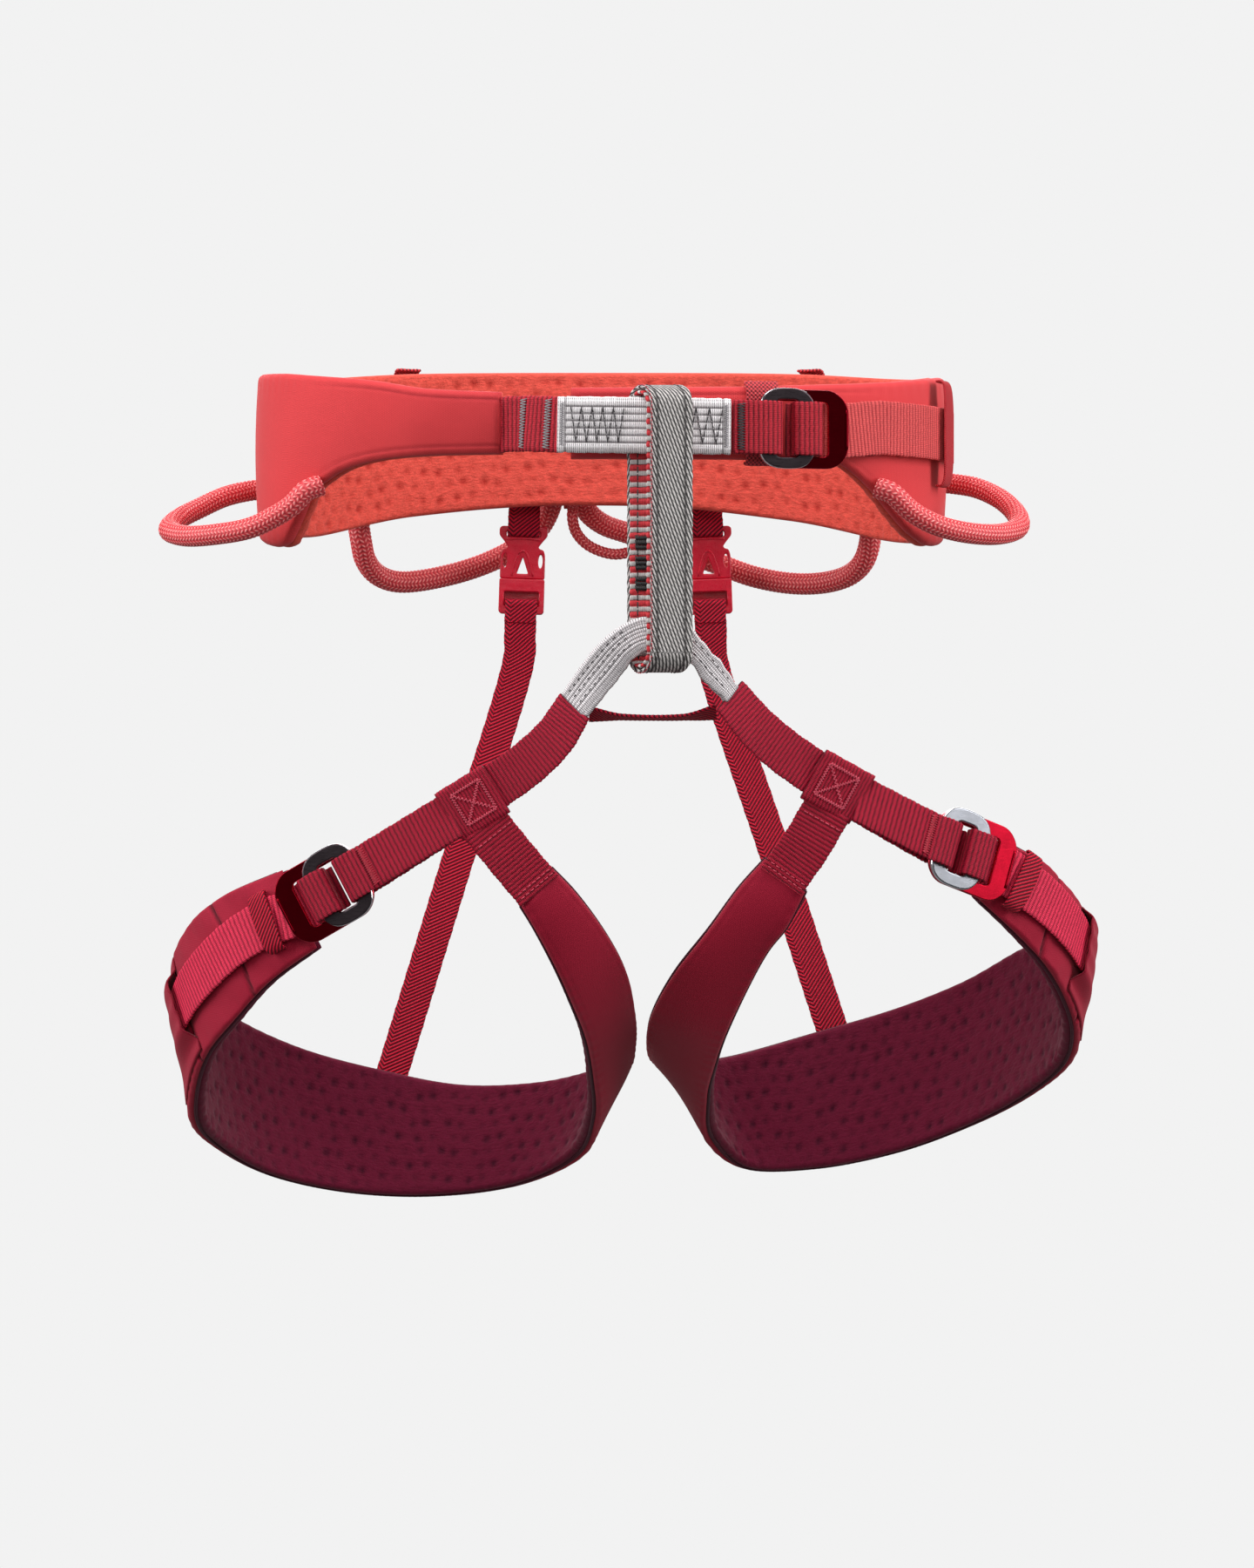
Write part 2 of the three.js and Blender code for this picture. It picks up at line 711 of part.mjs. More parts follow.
function legPadding(side, surface) {
  add(`leg_shell_${side}`, legBand(surface, LAYERS.shell, 0), FINISH.legShell);
  add(`leg_lining_${side}`, legBand(surface, LAYERS.foamLining, 0.6), FINISH.legLining);
}

function legFrontWebbing(side, rig) {
  add(
    `leg_front_webbing_${side}`,
    strap({
      route: rig.webbing,
      facings: rig.webbingFacings,
      width: WEBBING.leg - 1.5,
      thickness: WEBBING.thickness,
      steps: 8,
    }),
    FINISH.redWebbing,
  );
  const patchBlock = box(CROSS_PATCH.side, CROSS_PATCH.side, CROSS_PATCH.thickness);
  const patch = add(`leg_cross_patch_${side}`, patchBlock, FINISH.redWebbing);
  patch.applyMatrix4(buckleFrame(rig.patch, rig.patchAlong, v(0, -1, 0)).matrix);
  add(
    `leg_tab_webbing_${side}`,
    strap({ route: rig.tab, facings: [v(0, -1, 0)], width: WEBBING.leg, thickness: 1.6, steps: 5 }),
    FINISH.redWebbing,
  );
}

function legBuckle(side, rig, surface) {
  const frame = buckleFrame(rig.ring, rig.ringAlong, rig.ringOutwards);
  addBuckle(`leg_${side}`, frame, WEBBING.leg - 1);
  const patchFrame = buckleFrame(rig.patch, rig.patchAlong, v(0, -1, 0));
  add(
    `leg_buckle_webbing_${side}`,
    anchorWebbing(frame, patchFrame.at(12.8, 0), WEBBING.leg - 1),
    FINISH.redWebbing,
  );
  const offBand = 3.6;
  const tailPoints = rig.tailTurns.map((along) => surface.pointAt(along, rig.tailShare, offBand));
  const tailRoute = [frame.at(9, BUCKLE.tailLevel), frame.at(24, BUCKLE.tailLevel - 0.2), ...tailPoints];
  const outwardAt = (along) => surface.frameAt(along).outward;
  const [firstTurn, , middleTurn, , lastTurn] = rig.tailTurns;
  add(
    `leg_strap_tail_${side}`,
    strap({
      route: tailRoute,
      facings: [frame.n, outwardAt(firstTurn), outwardAt(middleTurn), outwardAt(lastTurn)],
      width: WEBBING.leg - 0.5,
      thickness: WEBBING.thickness,
      steps: 12,
    }),
    FINISH.redWebbing,
  );
  const load = [frame.at(1, BUCKLE.loadLevel), frame.at(12, BUCKLE.loadLevel), frame.at(20, BUCKLE.loadLevel - 0.4)];
  add(
    `leg_strap_${side}`,
    strap({ route: load, facings: [frame.n], width: WEBBING.leg - 2, thickness: 1.2, steps: 3 }),
    FINISH.redWebbing,
  );
  const { tangent, outward } = surface.frameAt(firstTurn);
  add(
    `leg_strap_keeper_${side}`,
    keeper(surface.pointAt(firstTurn, rig.tailShare, 0), tangent, outward, WEBBING.leg + 2, 5.6, 10),
    FINISH.elastic,
  );
}

// ---------------------------------------------------------------- risers

const RISER = {
  right: { top: v(-47, 106, -15), bottom: v(-108.5, 92.4, -284) },
  left: { top: v(36.5, 106, -15), bottom: v(95.5, 93.4, -265) },
  maleTop: -28.6, // height of the male half's webbing bar
  level: 107.2, // how far back the buckle hangs
};

function sideReleaseMale() {
  const outline = new THREE.Shape();
  const right = [
    [9.8, 0], [11, 1.2], [11, 4], [7.6, 7.6], [7.3, 9.6], [8.8, 9.8], [10.2, 13], [10.2, 23.6],
    [6.6, 23.6], [6.6, 29],
  ];
  outline.moveTo(right[0][0], -right[0][1]);
  right.slice(1).forEach(([x, y]) => outline.lineTo(x, -y));
  right.reverse().forEach(([x, y]) => outline.lineTo(-x, -y));
  outline.closePath();
  const slot = roundedRect(new THREE.Path(), -7.6, -4.9, 7.6, -2.4, 0.6);
  const aHole = new THREE.Path();
  aHole.moveTo(0, -13);
  aHole.lineTo(-3.6, -22);
  aHole.lineTo(3.6, -22);
  aHole.closePath();
  const prongGap = (side) => new THREE.Path().absellipse(side * 8.2, -16, 1, 3.2, 0, 2 * Math.PI);
  return plateWithHoles(outline, [slot, aHole, prongGap(-1), prongGap(1)], 4.6);
}

function sideReleaseFemale() {
  const outline = new THREE.Shape();
  const half = 10.3;
  const notch = 7.6; // wider than the male half's body, which slides in it
  const points = [
    [half, 24.2], [half, 39], [half - 1, 40], [-half + 1, 40], [-half, 39], [-half, 24.2],
    [-notch, 24.2], [-notch, 29.6], [notch, 29.6], [notch, 24.2],
  ];
  outline.moveTo(points[0][0], -points[0][1]);
  points.slice(1).forEach(([x, y]) => outline.lineTo(x, -y));
  outline.closePath();
  const slot = roundedRect(new THREE.Path(), -7.9, -36.6, 7.9, -32.2, 0.8);
  return plateWithHoles(outline, [slot], 6.4);
}

function riser(side) {
  const { top, bottom } = RISER[side];
  const lean = side === "right" ? -0.035 : 0.035;
  const down = v(lean, 0, -1).normalize();
  const front = v(0, -1, 0);
  const origin = v(top.x, RISER.level, RISER.maleTop);
  const frame = buckleFrame(origin, v(1, 0, lean), front);
  for (const [name, shape] of [["male", sideReleaseMale()], ["female", sideReleaseFemale()]]) {
    add(`riser_buckle_${name}_${side}`, shape, FINISH.plastic).applyMatrix4(frame.matrix);
  }
  const along = (distance, y) => origin.clone().addScaledVector(down, distance).setY(y);
  const stub = [top, along(-6.5, RISER.level - 1.8), along(-1.5, RISER.level - 3.3), along(2.2, RISER.level - 3.5)];
  add(
    `riser_stub_${side}`,
    strap({
      route: stub,
      facings: [front],
      width: ELASTIC.width,
      thickness: ELASTIC.thickness,
      steps: 4,
    }),
    FINISH.elastic,
  );
  const inFront = RISER.level - 4.7;
  const route = [
    along(33.6, inFront + 2.2),
    along(34.6, inFront + 0.3),
    along(37.5, inFront),
    along(42.5, inFront),
    along(60, inFront + 0.6),
    along(60, 0).lerp(bottom, 0.5).setY(RISER.level - 7),
    bottom,
  ];
  add(
    `riser_strap_${side}`,
    strap({
      route,
      facings: [front],
      width: ELASTIC.width,
      thickness: ELASTIC.thickness,
      steps: 18,
      crowding: 2,
    }),
    FINISH.elastic,
  );
}

// ---------------------------------------------------------------- gear loops and haul loop

const GEAR_LOOPS = {
  gear_loop_front_right: {
    radius: GEAR_LOOP_RADIUS.front,
    route: [
      v(-133, -74.6, -24.4), v(-139, -74, -30.4), v(-146, -72, -34.8), v(-156.5, -68, -39.3),
      v(-171.3, -58, -41.4), v(-186, -44, -41.4), v(-194.5, -30, -38.4), v(-192.8, -12, -32.6),
      v(-185, 0, -27.2), v(-174.5, 9, -21.4), v(-164.5, 16, -18.4),
    ],
  },
  gear_loop_front_left: {
    radius: GEAR_LOOP_RADIUS.front,
    route: [
      v(109.4, -78.6, -25.6), v(117.2, -76.6, -32.6), v(126.3, -73, -37.6), v(138.4, -65, -40.6),
      v(155.5, -49, -41), v(165.8, -33, -37.4), v(166.6, -14, -30), v(160.5, 0, -22.6),
      v(151.6, 9, -17.6), v(142.4, 16, -15.4),
    ],
  },
  gear_loop_rear_right: {
    radius: GEAR_LOOP_RADIUS.rear,
    route: [
      v(-121, 86.4, -26), v(-120.2, 89, -36), v(-118.4, 94, -44.6), v(-113.6, 100, -50.8),
      v(-104, 107, -53.8), v(-81, 118, -50), v(-60, 123.4, -42.4), v(-46, 122.4, -34),
      v(-38.6, 118.4, -26.4), v(-34, 113, -15.6), v(-33, 110.6, -4),
    ],
  },
  gear_loop_rear_left: {
    radius: GEAR_LOOP_RADIUS.rear,
    route: [
      v(109.4, 80, -24), v(109.8, 83, -34), v(107.6, 88, -44), v(102, 95, -50.6), v(92, 103, -54),
      v(77, 112, -54.4), v(59, 120, -51), v(41, 125, -44.4), v(21, 127.6, -37), v(0, 126.6, -30.4),
      v(-11, 123.6, -26.6), v(-18.6, 118.4, -20.4), v(-21.4, 113, -12), v(-21.6, 110.6, -4),
    ],
  },
  haul_loop: {
    radius: GEAR_LOOP_RADIUS.haul,
    route: [
      v(-24.6, 107.6, -19.4), v(-24.8, 108.4, -25.4), v(-23, 109.6, -31.4), v(-17, 111, -37.4),
      v(-5, 111.8, -41), v(7, 111, -37.4), v(13, 109.6, -31.4), v(14.8, 108.4, -25.4),
      v(14.6, 107.6, -19.4),
    ],
  },
};

function loops() {
  for (const [name, { radius, route }] of Object.entries(GEAR_LOOPS)) {
    add(name, tube(route, radius, name === "haul_loop" ? 22 : 26), FINISH.cord);
  }
}

// ---------------------------------------------------------------- the whole harness

waistBelt();
toolTab("tool_tab_right", 122);
toolTab("tool_tab_left", 55);
upperTieIn();
lowerTieIn();
belayLoop();
waistBuckle();
for (const side of ["right", "left"]) {
  const surface = legSurface(side);
  legPadding(side, surface);
  legFrontWebbing(side, LEG_RIG[side]);
  legBuckle(side, LEG_RIG[side], surface);
  riser(side);
}
loops();

export default harness;
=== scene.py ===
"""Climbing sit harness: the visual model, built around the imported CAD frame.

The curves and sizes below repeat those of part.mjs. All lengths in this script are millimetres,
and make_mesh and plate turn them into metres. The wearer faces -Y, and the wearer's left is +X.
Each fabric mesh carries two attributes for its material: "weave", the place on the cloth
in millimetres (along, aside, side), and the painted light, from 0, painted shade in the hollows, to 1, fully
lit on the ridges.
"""

import math

import bmesh
import bpy
import numpy as np
from mathutils import Matrix, Vector


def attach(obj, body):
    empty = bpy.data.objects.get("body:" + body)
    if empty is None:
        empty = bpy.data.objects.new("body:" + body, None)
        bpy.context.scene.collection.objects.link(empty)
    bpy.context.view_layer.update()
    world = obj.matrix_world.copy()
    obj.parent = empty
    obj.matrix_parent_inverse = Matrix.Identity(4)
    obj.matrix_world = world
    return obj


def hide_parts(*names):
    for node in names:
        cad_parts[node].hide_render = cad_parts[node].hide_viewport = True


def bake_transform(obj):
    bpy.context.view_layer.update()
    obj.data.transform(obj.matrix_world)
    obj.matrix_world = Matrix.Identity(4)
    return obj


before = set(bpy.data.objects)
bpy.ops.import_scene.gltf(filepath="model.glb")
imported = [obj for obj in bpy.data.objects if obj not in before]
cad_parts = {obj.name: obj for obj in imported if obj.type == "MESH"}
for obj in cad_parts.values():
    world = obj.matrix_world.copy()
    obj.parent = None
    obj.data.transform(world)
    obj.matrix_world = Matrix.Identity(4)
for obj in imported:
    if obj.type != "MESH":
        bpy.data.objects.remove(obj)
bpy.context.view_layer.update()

MM = 0.001
TAU = 2 * math.pi
SIDES = ("right", "left")

# ---------------------------------------------------------------- driving sizes, as in part.mjs

BELT = {
    "centre_x": -11, "half_width": 147, "half_depth": 103, "squareness": 2.5, "start": -92.5, "end": 258.5,
}

# Angle around the belt, height of its top edge, height of its bottom edge.
BELT_EDGES = np.array([
    (-92.5, 16, -13), (-70, 17, -13), (-53, 19, -13.5), (-49, 19.5, -17), (-43, 20.5, -25), (-37, 21.5, -34),
    (-30, 23, -41.5), (-20, 25, -45.5), (0, 29, -42), (30, 34, -38), (60, 39, -27), (90, 40.5, -19.5),
    (120, 39, -25), (150, 34, -36), (180, 30, -39), (197, 27.5, -45), (208, 26, -45.5), (213, 25, -37),
    (218, 24, -25), (223, 23, -20), (228, 22, -16), (236, 20, -12.7), (246, 16.3, -11.3), (258.5, 14.4, -11),
])

WAIST_WEBBING = 23
LEG_WEBBING = 20.5
WEBBING_THICKNESS = 1.5
LOAD_STRAP_THICKNESS = 1.2
THREAD = 0.22  # the radius of the thread in most of the stitching
ELASTIC = {"width": 14.6, "thickness": 1.2}
RIB_PITCH = 2.0  # from one cross rib of the webbing to the next

BELAY = {"centre": (13.3, -114.2, -42.5), "height": 117, "depth": 16.8, "width": 17.5, "drift": 10.4}
BELAY_COVER = 1.7
BELAY_SEAM_INSET = 3.1  # from the belay loop's edge to the seam along it
BELAY_LINER = {"inset": 2.1, "thickness": 1.6, "stripe": 2.3}

# The elastic's ribs: from one to the next along it, how steeply they slant, and where they turn back.
TWILL = {"pitch": 1.9, "slope": 0.85, "turn": 4.6}

BUCKLE = {
    "ring_length": 25, "height": 33, "ring_thickness": 2, "ring_bar": 7.5, "plate_length": 40,
    "plate_thickness": 1.8, "plate_bar": 9, "plate_level": -2.3, "tail_level": -4.7,
    "load_level": -6.9,
}

# ---------------------------------------------------------------- small helpers


def vec(*numbers):
    return np.array(numbers, float)


def unit(vectors):
    return vectors / np.linalg.norm(vectors, axis=-1, keepdims=True)


def fade(x, low, high):
    """Smoothly 0 at low and 1 at high."""
    t = np.clip((x - low) / (high - low), 0, 1)
    return t * t * (3 - 2 * t)


def bell(x, width):
    return np.exp(-((x / width) ** 2))


def ridge(x, pitch):
    """Rounded ridges with sharp hollows between them, from 0 to 1."""
    return np.abs(np.sin(math.pi * x / pitch)) ** 0.7


UP = vec(0, 0, 1)


class Curve:
    """The centripetal Catmull-Rom curve through some points, as three.js draws it."""

    def __init__(self, points):
        self.points = np.array(points, float)
        self.shares = np.linspace(0, 1, 1201)
        steps = np.linalg.norm(np.diff(self.at(self.shares), axis=0), axis=1)
        self.reach = np.concatenate([[0], np.cumsum(steps)])
        self.length = self.reach[-1]

    def at(self, share):
        """The point at a share of the way, counted in spans."""
        p = self.points
        place = np.clip(np.asarray(share, float), 0, 1) * (len(p) - 1)
        span = np.minimum(place.astype(int), len(p) - 2)
        u = (place - span)[..., None]
        row = np.vstack([2 * p[0] - p[1], p, 2 * p[-1] - p[-2]])
        p0, p1, p2, p3 = (row[span + k] for k in range(4))

        def gap(a, b):
            return np.maximum(np.sum((b - a) ** 2, -1, keepdims=True) ** 0.25, 1e-4)

        d0, d1, d2 = gap(p0, p1), gap(p1, p2), gap(p2, p3)
        t1 = ((p1 - p0) / d0 - (p2 - p0) / (d0 + d1) + (p2 - p1) / d1) * d1
        t2 = ((p2 - p1) / d1 - (p3 - p1) / (d1 + d2) + (p3 - p2) / d2) * d1
        return (
            (2 * u**3 - 3 * u**2 + 1) * p1 + (u**3 - 2 * u**2 + u) * t1
            + (3 * u**2 - 2 * u**3) * p2 + (u**3 - u**2) * t2
        )

    def along(self, distance):
        """The point at a distance from the start."""
        return self.at(np.interp(distance, self.reach, self.shares))

    def heading(self, distance):
        after = self.along(np.minimum(distance + 0.2, self.length))
        before = self.along(np.maximum(distance - 0.2, 0))
        return unit(after - before)


class Lay:
    """How a strap lies: its middle, and the directions across it and out of its front, at a distance."""

    def __init__(self, route, facings):
        self.curve = Curve(route)
        self.facings = Curve(facings) if len(facings) > 1 else None
        self.front = np.array(facings[0], float)
        self.length = self.curve.length

    def at(self, distance):
        distance = np.asarray(distance, float)
        heading = self.curve.heading(distance)
        front = self.front if self.facings is None else self.facings.at(distance / self.length)
        across = unit(np.cross(heading, front))
        return self.curve.along(distance), across, unit(np.cross(across, heading))

    def place(self, distance, aside, lift):
        """Points at a distance along the strap, a distance aside of its middle and a height above it."""
        centre, across, normal = self.at(distance)
        aside = np.asarray(aside, float)[..., None]
        return centre + across * aside + normal * np.asarray(lift, float)[..., None]


# ---------------------------------------------------------------- mesh making


def make_mesh(name, points, faces, look, weave=None, tone=None):
    mesh = bpy.data.meshes.new(name)
    mesh.from_pydata((np.asarray(points, float) * MM).tolist(), [], faces)
    if weave is not None:
        layer = mesh.attributes.new("weave", "FLOAT_VECTOR", "POINT")
        layer.data.foreach_set("vector", np.asarray(weave, np.float32).ravel())
    if tone is not None:
        layer = mesh.attributes.new("tone", "FLOAT", "POINT")
        layer.data.foreach_set("value", np.asarray(tone, np.float32).ravel())
    mesh.materials.append(look)
    mesh.polygons.foreach_set("use_smooth", [True] * len(mesh.polygons))
    mesh.update()
    piece = bpy.data.objects.new(name, mesh)
    bpy.context.scene.collection.objects.link(piece)
    return piece


def face_outwards(piece):
    """Turns every face of a closed piece to look out."""
    work = bmesh.new()
    work.from_mesh(piece.data)
    bmesh.ops.recalc_face_normals(work, faces=work.faces)
    work.to_mesh(piece.data)
    work.free()
    return piece


def skin(name, rings, look, weave, tone, closed=False):
    """A closed body through rings of points: an array of stations by points by three."""
    count, sides = rings.shape[:2]
    index = np.arange(count * sides).reshape(count, sides)
    here = index if closed else index[:-1]
    after = np.roll(index, -1, axis=0) if closed else index[1:]
    quads = np.stack([here, np.roll(here, -1, 1), np.roll(after, -1, 1), after], -1).reshape(-1, 4).tolist()
    if not closed:
        quads.append(index[0][::-1].tolist())
        quads.append(index[-1].tolist())
    piece = make_mesh(name, rings.reshape(-1, 3), quads, look, weave.reshape(-1, 3), tone.ravel())
    return face_outwards(piece)


def flat_section(width, thickness, steps):
    """Points round a flat strap with round sides, (aside, out), and how far each one looks aside and out."""
    half = thickness / 2
    turn = np.linspace(-math.pi / 2, math.pi / 2, 6)[1:-1]
    flat = np.linspace(-1, 1, steps) * (width / 2 - half)
    right = np.stack([width / 2 - half + half * np.cos(turn), half * np.sin(turn)], -1)
    back = np.stack([flat, np.full(steps, -half)], -1)
    front = np.stack([flat[::-1], np.full(steps, half)], -1)
    left = -right
    points = np.vstack([back, right, front, left])
    looks = np.vstack([
        np.tile((0, -1), (steps, 1)), np.stack([np.cos(turn), np.sin(turn)], -1),
        np.tile((0, 1), (steps, 1)), -np.stack([np.cos(turn), np.sin(turn)], -1),
    ])
    return points, looks


def no_swell(distance):
    return np.zeros(distance.shape)


def strap(name, lay, width, thickness, look, relief, step=0.33, columns=14, closed=False, swell=no_swell):
    """Flat webbing as a closed body. relief gives its height, 0 to 1, and swell the change of its width."""
    count = max(int(lay.length / step), 8)
    distance = np.linspace(0, lay.length, count, endpoint=not closed)[:, None]
    points, looks = flat_section(width, thickness, columns)
    aside, out = points[:, 0][None, :], points[:, 1][None, :]
    side = np.sign(looks[:, 1] + 1e-6)[None, :]
    height = relief(distance, aside, side)
    centre, across, normal = lay.at(distance[:, 0])
    wobble = 0.09 * np.sin(distance * 0.71 + 1.3 * np.sign(aside)) + 0.06 * np.sin(distance * 1.93 + aside)
    wide = aside * (1 + swell(distance))
    sideways = wide + looks[:, 0] * (relief.depth * (height - 1) + wobble)
    outwards = out + looks[:, 1] * relief.depth * (height - 1)
    rings = (
        centre[:, None] + across[:, None] * sideways[..., None] + normal[:, None] * outwards[..., None]
    )
    grid = np.broadcast_arrays(distance, aside, side)
    # The relief's height is also the mesh's painted light: painted shade in its hollows.
    return skin(name, rings, look, np.stack(grid, -1), height, closed)


OFF_AXIS = (0.11, 0.23, 1.0)  # a direction that no cord runs along
CORD_LEVEL = 0.7  # the relief that lies on a cord's own radius


def round_cord(name, route, radius, look, relief, depth, step, sides):
    """A round tube along a route, with a relief from 0 to 1 pressed into it."""
    lay = Lay(route, [OFF_AXIS])
    count = int(lay.length / step)
    distance = np.linspace(0, lay.length, count)[:, None]
    turn = np.arange(sides)[None, :] / sides * TAU
    height = relief(distance, turn)
    centre, across, normal = lay.at(distance[:, 0])
    size = (radius + depth * (height - CORD_LEVEL))[..., None]
    circle = across[:, None] * np.cos(turn)[..., None] + normal[:, None] * np.sin(turn)[..., None]
    rings = centre[:, None] + circle * size
    grid = np.broadcast_arrays(distance, turn * radius, turn * 0 + 1)
    # The relief is also the mesh's painted light: painted shade in the grooves of the cord.
    return skin(name, rings, look, np.stack(grid, -1), height)


def thread(name, runs, radius, look, sides=6):
    """Sewing thread: one body of thin round tubes, each along a run of points."""
    points, faces = [], []
    for run in runs:
        run = np.asarray(run, float)
        heading = unit(np.gradient(run, axis=0))
        helper = np.where(np.abs(heading[:, 2:3]) > 0.8, vec(1, 0, 0), vec(0, 0, 1))
        across = unit(np.cross(heading, helper))
        normal = np.cross(across, heading)
        turn = np.arange(sides) / sides * TAU
        ring = across[:, None] * np.cos(turn)[:, None] + normal[:, None] * np.sin(turn)[:, None]
        first = len(points)
        points.extend((run[:, None] + ring * radius).reshape(-1, 3))
        for i in range(len(run) - 1):
            for j in range(sides):
                a, b = first + i * sides + j, first + i * sides + (j + 1) % sides
                faces.append((a, b, b + sides, a + sides))
        faces.append(tuple(range(first + sides - 1, first - 1, -1)))
        end = first + (len(run) - 1) * sides
        faces.append(tuple(range(end, end + sides)))
    return make_mesh(name, points, faces, look)


def zigzag(place, start, end, swing, count, rise=0.25):
    """A zigzag stitch on a surface, from start to end, both (along, aside), swinging to both sides."""
    start, end = np.array(start, float), np.array(end, float)
    heading = unit(end - start)
    sideways = vec(-heading[1], heading[0]) * swing
    share = np.linspace(0, 1, count + 1)[:, None]
    corners = start + (end - start) * share + sideways * (-1.0) ** np.arange(count + 1)[:, None]
    run = []
    for a, b in zip(corners[:-1], corners[1:]):
        for t in (0.0, 0.25, 0.5, 0.75):
            at = a + (b - a) * t
            run.append(place(at[0], at[1], rise * math.sin(math.pi * t)))
    run.append(place(corners[-1][0], corners[-1][1], 0.0))
    return np.array(run)


def dashes(place, start, end, pitch=3.0, share=0.68, rise=0.18):
    """A running stitch on a surface, one run of points for each stitch."""
    start, end = np.array(start, float), np.array(end, float)
    count = max(int(np.linalg.norm(end - start) / pitch), 1)
    runs = []
    for i in range(count):
        span = [start + (end - start) * (i + share * t) / count for t in (0, 0.2, 0.5, 0.8, 1)]
        lifts = (-0.15, rise * 0.8, rise, rise * 0.8, -0.15)
        runs.append([place(at[0], at[1], lift) for at, lift in zip(span, lifts)])
    return runs


def stitched(name, runs, radius, look, body):
    """Adds thread to a body."""
    piece = thread(name, runs, radius, look)
    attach(piece, body)
    return piece


def belongs(piece, body, slot, *nodes):
    """Says which body a piece moves with, and hides the CAD nodes that it stands for. slot is not used."""
    if body:
        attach(piece, body)
    if nodes:
        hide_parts(*nodes)

# ---------------------------------------------------------------- materials


class Shader:
    """A material's nodes, made by short calls."""

    def __init__(self, name, roughness, metallic=0.0, sheen=0.0, coat=0.0, specular=0.5):
        self.material = bpy.data.materials.new(name)
        self.material.use_nodes = True
        self.tree = self.material.node_tree
        self.surface = self.tree.nodes["Principled BSDF"]
        self.set(self.surface, "Roughness", roughness)
        self.set(self.surface, "Metallic", metallic)
        self.set(self.surface, "Sheen Weight", sheen)
        self.set(self.surface, "Sheen Roughness", 0.45)
        self.set(self.surface, "Coat Weight", coat)
        self.set(self.surface, "Coat Roughness", 0.12)
        self.set(self.surface, "Specular IOR Level", specular)

    def set(self, node, socket, value):
        """Joins a socket to another, or sets it to a number or colour."""
        if isinstance(value, bpy.types.NodeSocket):
            self.tree.links.new(value, node.inputs[socket])
        else:
            node.inputs[socket].default_value = value

    def add(self, kind, output=0, inputs=None, **settings):
        node = self.tree.nodes.new("ShaderNode" + kind)
        for key, value in settings.items():
            setattr(node, key, value)
        for socket, value in (inputs or {}).items():
            self.set(node, socket, value)
        return node.outputs[output]

    def math(self, operation, a, b=0.0, c=0.0):
        return self.add("Math", 0, {0: a, 1: b, 2: c}, operation=operation)

    def weigh(self, a, weight_a, b, weight_b):
        """The sum of two values, each with its own weight."""
        return self.math("MULTIPLY_ADD", a, weight_a, self.math("MULTIPLY", b, weight_b))

    def cloth(self):
        """The place on the cloth in millimetres, as a vector."""
        return self.add("Attribute", 1, attribute_name="weave")

    def weave(self):
        """The place on the cloth, and how far that is along it and aside of its middle."""
        place = self.cloth()
        node = self.tree.nodes.new("ShaderNodeSeparateXYZ")
        self.set(node, 0, place)
        return place, node.outputs[0], node.outputs[1]

    # The mesh's painted light: 0 for painted shade in its hollows, 1 where it is fully lit.
    def tone(self):
        return self.add("Attribute", 2, attribute_name="tone")

    def stretch(self, place, along, aside):
        return self.add("Mapping", 0, {"Vector": place, "Scale": (along, aside, 1.0)})

    def noise(self, place, scale, detail=2.0, roughness=0.5):
        inputs = {"Vector": place, "Scale": scale, "Detail": detail, "Roughness": roughness}
        return self.add("TexNoise", 0, inputs)

    def fibres(self, place, along, aside):
        """Fine fibres: how many there are in a millimetre, along the cloth and across it."""
        return self.noise(self.stretch(place, along, aside), 1.0, 3.0, 0.7)

    def wave(self, place, pitch):
        """Stripes of a pitch in millimetres, from 0 to 1."""
        turned = self.math("MULTIPLY", place, TAU / pitch)
        return self.math("MULTIPLY_ADD", self.math("SINE", turned), 0.5, 0.5)

    def span(self, value, low, high, new_low=0.0, new_high=1.0):
        return self.add("MapRange", 0, {0: value, 1: low, 2: high, 3: new_low, 4: new_high})

    def mix(self, share, a, b):
        node = self.tree.nodes.new("ShaderNodeMix")
        node.data_type = "RGBA"
        for socket, value in ((0, share), (6, a), (7, b)):
            self.set(node, socket, value)
        return node.outputs[2]

    def bump(self, height, distance):
        return self.add("Bump", 0, {"Height": height, "Distance": distance, "Strength": 1.0})

    def done(self, colour, normal=None):
        self.set(self.surface, "Base Color", colour)
        if normal is not None:
            self.set(self.surface, "Normal", normal)
        return self.material

    def woven(self, dark, lit, low, high, height, distance):
        """The finished cloth: the dark colour as painted shade where its mesh's painted light is low, and lit
        where it is high, with a bump.
        """
        return self.done(self.mix(self.span(self.tone(), low, high), dark, lit), self.bump(height, distance))


def srgb(red, green, blue):
    """A colour given as 0 to 255 on a screen, as the linear colour that a shader takes."""


    def linear(level):
        share = level / 255
        return ((share + 0.055) / 1.055) ** 2.4 if level > 10 else share / 12.92

    return (linear(red), linear(green), linear(blue), 1.0)


def shaded(colour, share):
    return tuple(c * share for c in colour[:3]) + (1.0,)


def mottled(s, place, colour, size, strength):
    """The colour, a little lighter and darker in soft patches."""
    patches = s.span(s.noise(place, 1 / size, 3.0), 0.3, 0.7)
    return s.mix(patches, shaded(colour, 1 - strength), shaded(colour, 1 + strength * 0.6))


